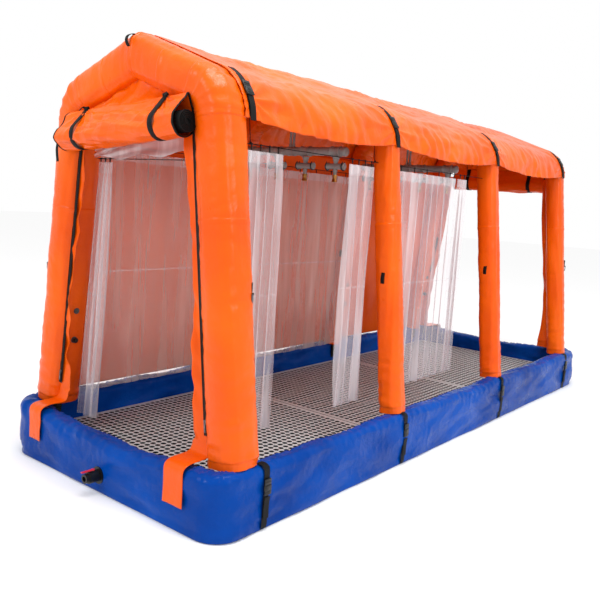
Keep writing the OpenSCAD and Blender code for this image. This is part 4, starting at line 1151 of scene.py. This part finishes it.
def jambPart(end, side, lowEnd, flare):
    y0 = jamb["y"][end]
    out = -1 if end == 0 else 1
    hang = tent["halfL"] + 0.013
    # down the leg, over the wall's rolled top and down its outer face, as (y, z)
    route = [(y0, jamb["top"] + 0.04), (y0, 1.6), (y0, 1.0), (y0, 0.60), (y0, 0.46),
             (y0 + out * 0.006, 0.412),
             (y0 + out * 0.035, 0.387), (out * (hang - 0.060), 0.383), (out * (hang - 0.016), 0.371),
             (out * hang, 0.345), (out * hang, 0.28), (out * hang, lowEnd)]
    line = smoothPath([(0, y, z) for y, z in route], 0.0095)
    normal = pathNormals(line, (1.0, 0, 0)) * out
    t = np.linspace(0, 1, 18)
    yy, tt = np.meshgrid(line[:, 1], t, indexing="ij")
    zz = np.repeat(line[:, 2][:, None], len(t), 1)
    low = np.clip((0.85 - zz) / 0.47, 0, 1)
    below = np.clip((0.40 - zz) / 0.2, 0, 1)
    wide = jamb["wide"] * (1 + flare * low ** 1.6)
    up = (np.maximum(zz, 0.378) - tent["wallTop"]) / math.cos(lean)
    x = tent["baseX"] - (jamb["inset"][end] - 0.010 + tt * wide) / math.cos(lean) - up * math.sin(lean)
    free = tt ** 1.3
    run = np.concatenate([[0], np.linalg.norm(np.diff(line, axis=0), axis=1).cumsum()])[:, None] + 0 * tt
    lift = jamb["swing"] * np.sin(run * 5.1 + 1.3 * side + end) * free
    lift = lift + jamb["fold"] * creases(run, tt * wide, 0.085, 400 + 7 * end + side, 4,
                                         2.2) * (0.25 + free)
    lift = lift + jamb["curl"] * free ** 2 * (1 - low)
    lift = np.where(zz < 0.46, np.clip(lift * 0.45, -0.001, 0.006) + 0.002, lift) * np.where(below > 0,
            0.8, 1.0)
    x = x + 0.006 * noise(np.stack([run * 0.5, tt * wide + end + side], -1), 0.25, 420 + side) * free
    points = np.stack([x, yy + lift * normal[:, 1][:, None], zz + lift * normal[:, 2][:, None]], -1)
    return gridPart(points, uv=np.stack([run, tt * wide], -1))


for end, word in ((0, "front"), (1, "rear")):
    parts = [jambPart(end, 1, jamb["tailLow"][0], 0.85),
             mirrored(jambPart(end, 2, jamb["tailLow"][1], 0.45))]
    strips = meshPiece(word + "JambStrips", parts, orangeTarp, "tent",
                       replaces=[word + "_jambs"])
    stripLong = jamb["top"] - tent["wallTop"] + tent["wallT"] + tent["wallTop"] - jamb["tailLow"][0]
    clothSheet(strips, (2 * jamb["wide"], stripLong))
    thicken(strips, jamb["thick"])

zipper = {"tape": 0.034, "low": 0.130, "long": 1.670, "coil": 0.0065, "y": (-2.5685, 2.4135)}


def zipParts():
    cloth, teeth = [], []
    for end in (0, 1):
        out = -1 if end == 0 else 1
        up = np.linspace(zipper["low"], zipper["low"] + zipper["long"], 240)
        x, z = legPoint(up, jamb["inset"][end] + zipper["tape"] / 2)
        path = np.stack([x, np.full_like(x, zipper["y"][end]), z], -1)
        across = np.array([math.cos(lean), 0, math.sin(lean)])
        normal = np.repeat(np.array([[0, out, 0.0]]), len(path), 0)
        cloth += ribbonPart(path, across, zipper["tape"], 0.0012, normal, flip=out > 0)
        # coil: two rows of teeth, one ridge each 5 mm
        dense = np.linspace(zipper["low"], zipper["low"] + zipper["long"], 1100)
        x, z = legPoint(dense, jamb["inset"][end] + zipper["tape"] / 2)
        ridge = 0.0006 * np.sin(2 * math.pi * dense / 0.0056)
        ang = np.linspace(0, math.pi, 7)
        aa = np.repeat(ang[None], len(dense), 0)
        rad = zipper["coil"] / 2 + ridge[:, None] * 1.2
        pts = np.stack([x[:, None] + rad * np.cos(aa) * math.cos(lean),
                        zipper["y"][end] + out * (0.0008 + 0.6 * rad * np.sin(aa)),
                        z[:, None] + rad * np.cos(aa) * math.sin(lean)], -1)
        teeth.append(gridPart(pts, flip=out > 0))
    return cloth + [mirrored(p) for p in cloth], teeth + [mirrored(p) for p in teeth]


clothParts, teethParts = zipParts()
meshPiece("zipTapes", clothParts, zipCloth, "tent", replaces=["door_zips"])
meshPiece("zipTeeth", teethParts, zipTooth, "tent")


def sliderParts():
    # slider body, bridge and hanging puller; x across, y out of the tape, z up the zip
    wedge = [(-0.0065, 0.0), (0.0065, 0.0), (0.0095, 0.020), (0.0100, 0.028), (-0.0100, 0.028),
             (-0.0095, 0.020)]
    parts = []
    for low, high in ((0.0005, 0.0025), (0.0055, 0.0075)):
        p = platePart(wedge, low, high, 0.0007)
        parts.append(p)
    parts.append(boxPart((-0.0022, 0.020, 0.0025), (0.0022, 0.028, 0.0055), 0.0005))
    parts.append(boxPart((-0.0030, 0.004, 0.0072), (0.0030, 0.008, 0.0100), 0.0006))
    parts.append(boxPart((-0.0030, 0.018, 0.0072), (0.0030, 0.022, 0.0100), 0.0006))
    parts.append(boxPart((-0.0030, 0.004, 0.0092), (0.0030, 0.022, 0.0112), 0.0006))
    tab = [(-0.0045, 0.010), (0.0045, 0.010), (0.0055, -0.006), (0.0060, -0.034), (0.0042, -0.042),
           (-0.0042, -0.042), (-0.0060, -0.034), (-0.0055, -0.006)]
    parts.append(platePart(tab, 0.0080, 0.0102, 0.0008))
    return parts


for word, end, side in (("front_right", 0, 1), ("front_left", 0, -1), ("rear_right", 1, 1),
                        ("rear_left", 1, -1)):
    x, z = legPoint(0.190, jamb["inset"][end] + zipper["tape"] / 2)
    out = -1 if end == 0 else 1
    faceY = zipper["y"][end] + out * 0.0012
    upAxis = Vector((-math.sin(lean) * side, 0, math.cos(lean)))
    outAxis = Vector((0, out, 0))
    place = basis((float(x) * side, faceY, float(z)), upAxis.cross(outAxis), upAxis, outAxis)
    meshPiece("slider" + word.title().replace("_", ""), [movedPart(p, place) for p in sliderParts()],
              plateSteel,
              "zip_" + word, angle=35, replaces=["slider_" + word])
print("jambs and zips made")

# left wall panels

panel = {"inset": 0.0245, "thick": 0.0020, "billow": 0.022}


def panelPart(k):
    r0, r1 = tent["archD"][k] / 2, tent["archD"][k + 1] / 2
    inset = panel["inset"]
    half = lambda r: math.sqrt(r * r - (r - inset) ** 2)
    y = np.linspace(tent["archY"][k] + half(r0) - 0.012, tent["archY"][k + 1] - half(r1) + 0.012, 110)
    up = np.linspace(0.001, (tent["flyEdge"] + 0.012 - tent["wallTop"]) / math.cos(lean), 120)
    yy, uu = np.meshgrid(y, up, indexing="ij")
    ty = (yy - y[0]) / (y[-1] - y[0])
    tz = uu / up[-1]
    inner = np.clip(np.minimum(np.minimum(ty, 1 - ty) / 0.12, np.minimum(tz, 1 - tz) / 0.08), 0, 1)
    flat = np.stack([yy, uu * 0.5], -1)
    push = inner * (panel["billow"] * (0.3 + 0.7 * layered(flat, 0.6, 500 + k))
                    + 0.010 * creases(uu, yy, 0.22, 505 + k, 5, 2.0))
    # folds running out of the corners
    for cy in (0, 1):
        for cz in (0, 1):
            dy, dz = (ty - cy) * (y[-1] - y[0]), (tz - cz) * up[-1]
            far = np.hypot(dy, dz)
            fan = np.abs(np.sin(np.arctan2(np.abs(dz), np.abs(dy)) * 9))
            push = push + inner * 0.008 * (0.5 - fan) * np.exp(-(far / 0.35) ** 2)
    x = -(tent["baseX"] - inset / math.cos(lean) - uu * math.sin(lean)) + push
    z = tent["wallTop"] + uu * math.cos(lean) + push * 0.1
    return gridPart(np.stack([x, yy, z], -1))


wallSheets = meshPiece("leftWallSheets", [panelPart(k) for k in range(3)], insideTarp, "tent",
                       replaces=["left_panels"])
panelCut = (sum(tent["archY"][k + 1] - tent["archY"][k] - (tent["archD"][k] + tent["archD"][k + 1]) / 4
                for k in range(3)),
            (tent["flyEdge"] + 0.012 - tent["wallTop"]) / math.cos(lean))
clothSheet(wallSheets, panelCut)
thicken(wallSheets, panel["thick"])
print("wall panels made")

# clear curtains

film = {"top": 2.058, "foot": 0.420, "hem": 0.070, "weld": 1.24}


def curtainPart(span, height, folds, depth, seed):
    # a hanging sheet over local x 0..span, folding in local y; returns its points and the run down it
    nu, nv = max(60, int(folds * 26)), 150
    t = np.linspace(0, 1, nu)
    h = np.linspace(0, 1, nv)
    tt, hh = np.meshgrid(t, h, indexing="ij")
    phase = 2 * math.pi * folds * tt + 1.3 * noise(np.stack([tt * folds * 0.6, hh * 1.6], -1), 1.0, seed)
    rise = np.clip(hh / 0.11, 0, 1)
    grow = 0.22 + 0.48 * rise * rise * (3 - 2 * rise) + 0.30 * hh ** 0.8
    amp = depth * grow * (0.72 + 0.28 * noise(np.stack([tt * folds * 0.8, hh * 2.0], -1), 1.0, seed + 3))
    y = amp * np.sin(phase)
    x = tt * span + 0.32 * amp * np.sin(2 * phase + 0.6) * (1 - 0.3 * hh)
    x = np.clip(x, -0.004, span + 0.004)
    y = y + 0.0040 * creases(hh * height, tt * span * 2, 0.16, seed + 8, 4, 2.6)
    z = -hh * height
    return np.stack([x, y, z], -1), hh * height


def curtainPiece(name, body, node, bays, lineX, foot, seedBase, fullness, material=clearCurtain):
    # bays: list of (y start, y end, folds, depth)
    sheetParts, hemParts = [], []
    height = film["top"] - foot
    for k, (ya, yb, folds, depth) in enumerate(bays):
        points, down = curtainPart(yb - ya, height, folds, depth, seedBase + 13 * k)
        world = np.stack([lineX + points[..., 1], ya + points[..., 0], film["top"] + points[..., 2]], -1)
        cutRow = int(round(film["hem"] / height * (world.shape[1] - 1)))
        weldRow = int(round((film["top"] - film["weld"]) / height * (world.shape[1] - 1)))
        uvs = np.stack([points[..., 0], down], -1)
        sheetParts.append(gridPart(world, uv=uvs))
        hemParts.append(gridPart(world[:, :cutRow + 1] + [0.0012, 0, 0], uv=uvs[:, :cutRow + 1]))
        hemParts.append(gridPart(world[:, weldRow:weldRow + 2] + [0.0012, 0, 0],
                                 uv=uvs[:, weldRow:weldRow + 2]))
    piece = meshPiece(name, sheetParts, material, body, replaces=[node])
    hems = meshPiece(name + "Hems", hemParts, clearHem, body)
    clothSheet(piece, (fullness * sum(b - a for a, b, _, _ in bays), height))


bay = {"y0": -2.370, "y1": -1.015, "m0": -0.845, "m1": 0.635, "end": 0.045, "gather": 0.300, "open": 0.940,
       "small": 0.150}
curtainPiece("rightCurtainFront", "side_curtain_front", "right_curtain_front",
                                   [(bay["y0"] + bay["end"], bay["y0"] + bay["end"] + bay["gather"], 4.2,
                                     0.033)],
                                   0.670, film["foot"], 600, 1.4)
curtainPiece("rightCurtainBack", "side_curtain_back", "right_curtain_back",
                                  [(bay["y1"] - bay["end"] - bay["gather"], bay["y1"] - bay["end"], 3.6,
                                    0.033)],
                                  0.670, film["foot"], 620, 1.4)
m0 = bay["m0"] + bay["end"]
curtainPiece("middleCurtains", "side_curtain_middle", "middle_curtains",
                               [(m0, m0 + bay["open"], 9.0, 0.026),
                                (m0 + bay["open"] + bay["end"],
                                 m0 + bay["open"] + bay["end"] + bay["small"], 2.4, 0.028)],
                               0.670, film["foot"] + 0.01, 640, 1.25)
curtainPiece("leftLiner", "liner", "left_curtain",
                             [(bay["y0"] + bay["end"], bay["y1"] - bay["end"], 5.0, 0.010),
                              (m0, bay["m1"] - bay["end"], 5.5,
                               0.010)], -0.670, film["foot"], 660, 1.0, clearLiner)


def doorCurtain():
    # gathered at the left leg and leaning like it
    topZ, foot, span = 1.966, 0.270, 0.150
    height = (topZ - foot) / math.cos(lean)
    points, down = curtainPart(span, height, 3.6, 0.029, 690)
    x0 = -0.5285
    lx, ly, lz = points[..., 0], points[..., 1], points[..., 2]
    spread = 1 + 0.6 * (down / height) ** 0.8
    x = x0 + lx * spread + lz * math.sin(lean)
    z = topZ + lz * math.cos(lean)
    world = np.stack([x, -2.433 + ly, z], -1)
    cut = int(round(film["hem"] / height * (world.shape[1] - 1)))
    mid = int(world.shape[1] * 0.5)
    uvs = np.stack([lx, down], -1)
    piece = meshPiece("doorCurtain", [gridPart(world, uv=uvs)], clearCurtain, "door_curtain",
                      replaces=["front_curtain"])
    hems = meshPiece("doorCurtainHems", [gridPart(world[:, :cut + 1] + [0, -0.0012, 0],
                                                  uv=uvs[:, :cut + 1]),
                                         gridPart(world[:, mid:mid + 2] + [0, -0.0012, 0],
                                                  uv=uvs[:, mid:mid + 2])],
                     clearHem, "door_curtain")
    clothSheet(piece, (0.36, height))


def doorValance():
    # a short clear strip behind the rolled door, drawn towards the left with the curtain
    x = np.linspace(-0.505, 0.500, 150)
    v = np.linspace(0, 1, 36)
    xx, vv = np.meshgrid(x, v, indexing="ij")
    t = (xx - x[0]) / (x[-1] - x[0])
    top = 2.150 + 0.02 * t
    low = 1.985 + 0.050 * t ** 1.5 + 0.012 * np.sin(t * 17)
    z = top + (low - top) * vv
    fan = np.sin((z - 1.9) * 75 / (0.35 + t) + 3.0 * t)
    y = -2.470 - 0.012 * vv + 0.007 * fan * vv * (1 - 0.5 * t) + 0.010 * creases(xx, z, 0.06, 705, 4,
            3.0) * vv
    piece = meshPiece("doorValance", [gridPart(np.stack([xx, y, z], -1))], clearCurtain, "tent")
    clothSheet(piece, (1.005, 0.150))


doorCurtain()
doorValance()
print("curtains made", {k: [round(float(v), 3) for v in s] for k, s in flats.items()})

# small fittings


def smallWebbing():
    parts = []
    # folded tabs on the second and third arches' legs, level with the rings
    for k in (1, 2):
        for side in (-1, 1):
            x = (legX(1.300) - tent["archD"][k] / 2) * side
            y = tent["archY"][k] - tent["archD"][k] / 2 - 0.001
            path = smoothPath([(x, y, 1.345), (x, y - 0.006, 1.315), (x, y - 0.007, 1.290),
                               (x, y - 0.002, 1.268)])
            parts += ribbonPart(path, np.array([1.0, 0, 0]), 0.030, 0.004,
                                pathNormals(path, np.array([1.0, 0, 0])))
    return parts


meshPiece("legTabs", smallWebbing(), webbing, "tent", angle=50)


def tubeAlong(points, radius, sides=10):
    path = smoothPath(points, 0.02)
    t = np.gradient(path, axis=0)
    t = t / np.linalg.norm(t, axis=1)[:, None]
    a = np.cross(t, np.array([0.31, 0.77, 0.56]))
    a = a / np.linalg.norm(a, axis=1)[:, None]
    b = np.cross(t, a)
    ang = np.linspace(0, 2 * math.pi, sides, endpoint=False)
    p = path[:, None] + radius * (np.cos(ang)[None, :, None] * a[:, None] + np.sin(ang)[None, :, None]
                                  * b[:, None])
    return [gridPart(p, closeV=True), fanPart(p[0], flip=True), fanPart(p[-1])]


tie = {"ends": ((0.670, -2.300), (0.670, -1.060), (0.670, -0.815), (0.670, 0.345)), "top": 2.448,
       "low": 2.096,
       "radius": 0.0022}
for number, (x, y) in enumerate(tie["ends"]):
    # a thin tie from the roof down to the curtain line, knotted round it
    route = [(x - 0.050, y, tie["top"]), (x - 0.020, y, (tie["top"] + tie["low"]) / 2), (x, y, tie["low"])]
    knot = tubeAlong([(x - 0.004, y, tie["low"] - 0.006), (x + 0.004, y, tie["low"] + 0.006)], 0.0065)
    name = "curtainTie" + str(number + 1)
    cord = meshPiece(name, tubeAlong(route, tie["radius"]), webbing, "tent")
    knotPiece = meshPiece(name + "Knot", knot, webbing, "tent")
    line = smoothPath(route, 0.02)

# spray plumbing

pipes = {"y": {"front": -1.150, "rear": 0.500}, "headX": (-0.405, -0.135, 0.135, 0.405), "headerZ": 2.155,
         "headerR": 0.030, "headerHalf": 0.470, "teeHalf": 0.042, "armZ": 2.053, "armHalf": 0.078,
         "armR": 0.023,
         "stubR": 0.013, "headZ": 1.945, "headLong": 0.050, "risersX": 0.015, "supplyZ": 2.390}


def alongX(part, x, y, z):
    return movedPart(part, Matrix.Translation((x, y, z)) @ Matrix.Rotation(math.pi / 2, 4, "Y"))


def at(part, x, y, z):
    return movedPart(part, Matrix.Translation((x, y, z)))


def socketProfile(radius, half, rim=0.0035, rimLong=0.010):
    # a moulded fitting body with a raised rim at both ends
    return softProfile([(0.0, -half), (radius + rim, -half), (radius + rim, -half + rimLong),
                        (radius, -half + rimLong + 0.002), (radius, half - rimLong - 0.002),
                        (radius + rim, half - rimLong), (radius + rim, half), (0.0, half)])


def headerParts(y):
    z, r, half = pipes["headerZ"], pipes["headerR"], pipes["headerHalf"]
    parts = [alongX(lathePart([(0.0, -half), (r, -half), (r, half), (0.0, half)], 48), 0, y, z)]
    for x in pipes["headX"]:
        parts.append(alongX(lathePart(socketProfile(r + 0.0035, pipes["teeHalf"]), 48), x, y, z))
    for side in (-1, 1):
        cap = softProfile([(0.0, 0.029), (0.024, 0.029), (0.031, 0.024), (0.034, 0.014), (0.034, 0.0),
                           (0.0, 0.0)], 0.003)
        part = alongX(lathePart([(a, b * side) for a, b in cap][::-side], 48), side * (half - 0.002), y, z)
        parts.append(part)
    return parts


def dropParts(y):
    parts = []
    top, r = pipes["headerZ"] - 0.0375, pipes["stubR"]
    foot = pipes["headZ"] + pipes["headLong"] - 0.0195
    reducer = softProfile([(0.0, 0.0), (0.026, 0.0), (0.026, -0.011), (0.021, -0.014), (0.021, -0.024),
                           (0.017, -0.030),
                           (0.017, -0.034), (0.0, -0.034)])
    arm = socketProfile(pipes["armR"] - 0.002, pipes["armHalf"], 0.0025, 0.014)
    collar = softProfile([(0.0, 0.0), (0.0165, 0.0), (0.0165, -0.016), (0.0, -0.016)])
    for x in pipes["headX"]:
        parts.append(at(lathePart(reducer[::-1], 32), x, y, top))
        parts.append(at(lathePart([(0.0, foot), (r, foot), (r, top - 0.030), (0.0, top - 0.030)], 28), x,
                        y, 0))
        parts.append(alongX(lathePart(arm, 36), x, y, pipes["armZ"]))
        for side in (-1, 1):
            plug = softProfile([(0.0, 0.0), (0.012, 0.0), (0.012, 0.003), (0.0, 0.003)], 0.0008)
            parts.append(alongX(lathePart([(a, side * b) for a, b in plug][::side], 24),
                                x + side * pipes["armHalf"], y,
                                pipes["armZ"]))
        for z in (pipes["armZ"] + 0.038, pipes["armZ"] - 0.022):
            parts.append(at(lathePart(collar[::-1], 28), x, y, z))
    return parts


def headParts(y):
    # brass spray head: hexagon, turned neck and a flared bell, hollow below
    parts = []
    for x in pipes["headX"]:
        z0 = pipes["headZ"]
        hexagon = [(0.0195 * math.cos(a), 0.0195 * math.sin(a)) for a in np.arange(6) * math.pi / 3]
        nut = movedPart(platePart(hexagon, 0.034, 0.050, 0.0012), Matrix.Translation((x, y, z0)))
        bell = softProfile([(0.0, 0.014), (0.0125, 0.014), (0.0150, 0.0), (0.0196, 0.0), (0.0200, 0.004),
                            (0.0185, 0.010),
                            (0.0155, 0.022), (0.0150, 0.028), (0.0172, 0.031), (0.0172, 0.035), (0.0,
                                    0.035)], 0.0009)
        parts += [nut, at(lathePart(bell, 36), x, y, z0)]
    return parts


def clipParts():
    # open spring clips near both ends of each cross arm, with small curled tips
    parts = []
    for y in pipes["y"].values():
        for x in pipes["headX"]:
            for side in (-1, 1):
                place = x + side * (pipes["armHalf"] - 0.010)
                angles = np.radians(np.linspace(28, 332, 30))
                ring = [(place, y + 0.0275 * math.sin(a), pipes["armZ"] + 0.0275 * math.cos(a))
                        for a in angles]
                for end, way in ((0, 1), (-1, -1)):
                    a = angles[end]
                    tip = (place, y + 0.034 * math.sin(a - way * 0.12),
                           pipes["armZ"] + 0.034 * math.cos(a - way * 0.12))
                    ring = [tip] + ring if end == 0 else ring + [tip]
                parts += tubeAlong(ring, 0.0036, 10)
    return parts


def riserParts():
    parts = []
    foot, head = pipes["headerZ"] + pipes["headerR"], pipes["supplyZ"] - 0.029
    tall = head - foot
    profile = softProfile([(0.0, 0.0), (0.0128, 0.0), (0.0128, 0.020), (0.0096, 0.023),
                           (0.0096, tall - 0.036),
                           (0.0128, tall - 0.033), (0.0128, tall - 0.010), (0.0, tall - 0.010)])
    band = socketProfile(pipes["headerR"] + 0.0030, 0.034, 0.0015, 0.006)
    for y in pipes["y"].values():
        for side in (-1, 1):
            parts.append(at(lathePart(profile, 28), side * pipes["risersX"], y, foot))
        parts.append(at(boxPart((-0.029, -0.013, head - 0.022), (0.029, 0.013, head - 0.004), 0.003, 3), 0,
                        y, 0))
        parts.append(alongX(lathePart(band, 48), 0, y, pipes["headerZ"]))
    return parts


for word, y in pipes["y"].items():
    meshPiece("header" + word.title(), headerParts(y), pipePlastic, "tent", angle=35,
              replaces=["header_" + word])
    meshPiece("drops" + word.title(), dropParts(y), pipePlastic, "tent", angle=35,
              replaces=["drops_" + word])
    meshPiece("sprayHeads" + word.title(), headParts(y), brassMetal, "tent", angle=30,
              replaces=["nozzles_" + word])
meshPiece("armClips", clipParts(), acetal, "tent", replaces=["pipe_clips"])
meshPiece("headerRisers", riserParts(), pipePlastic, "tent", angle=35,
          replaces=["header_risers"])
print("plumbing made")

# parts that keep their CAD shape

finishes = {
    "deck_bearers": bearerPlastic, "drain_flange": acetal, "drain_valve_body": acetal,
    "drain_seal": blackRubber,
    "drain_ball": polishedSteel, "drain_lever": redPlastic, "inflation_valves": greyValve,
    "valve_caps": acetal,
    "supply_pipe": pipePlastic, "inlet_coupling": brassMetal, "front_curtain_hooks": acetal,
    "right_front_hooks": acetal, "right_back_hooks": acetal, "middle_hooks": acetal, "left_hooks": acetal,
    "curtain_lines": webbing, "ring_tabs": webbing, "ring_front_right": plateSteel,
    "ring_front_left": plateSteel,
    "ring_rear_right": plateSteel, "ring_rear_left": plateSteel,
}
for node, material in finishes.items():
    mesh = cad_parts[node].data
    mesh.materials.clear()
    mesh.materials.append(material)

# floor and light

floorMesh = bpy.data.meshes.new("studioFloor")
floorMesh.from_pydata([(-40, -40, -0.002), (40, -40, -0.002), (40, 40, -0.002), (-40, 40, -0.002)], [],
                      [(0, 1, 2, 3)])
floor = bpy.data.objects.new("studioFloor", floorMesh)
floorMesh.materials.append(newMaterial("studioFloorPaint", "#FAFAFA", 0.9, {"Specular IOR Level": 0.0})[0])
bpy.context.scene.collection.objects.link(floor)

world = bpy.data.worlds.new("studio")
bpy.context.scene.world = world
world.use_nodes = True
world.node_tree.nodes["Background"].inputs[0].default_value = (1, 1, 1, 1)
world.node_tree.nodes["Background"].inputs[1].default_value = 1.0
softbox("overhead", (1.5, -2.0, 6.4), (0, 0, 1.5), 3, 3, 280)
softbox("frontKey", (-1.5, -9.0, 5.0), (0, -1, 1.2), 2.2, 2.0, 170)
softbox("sideFill", (8.5, -1.5, 4.5), (0, 0, 1.2), 2.4, 2.0, 150)
bpy.context.scene.view_settings.view_transform = "Standard"
print("light set")
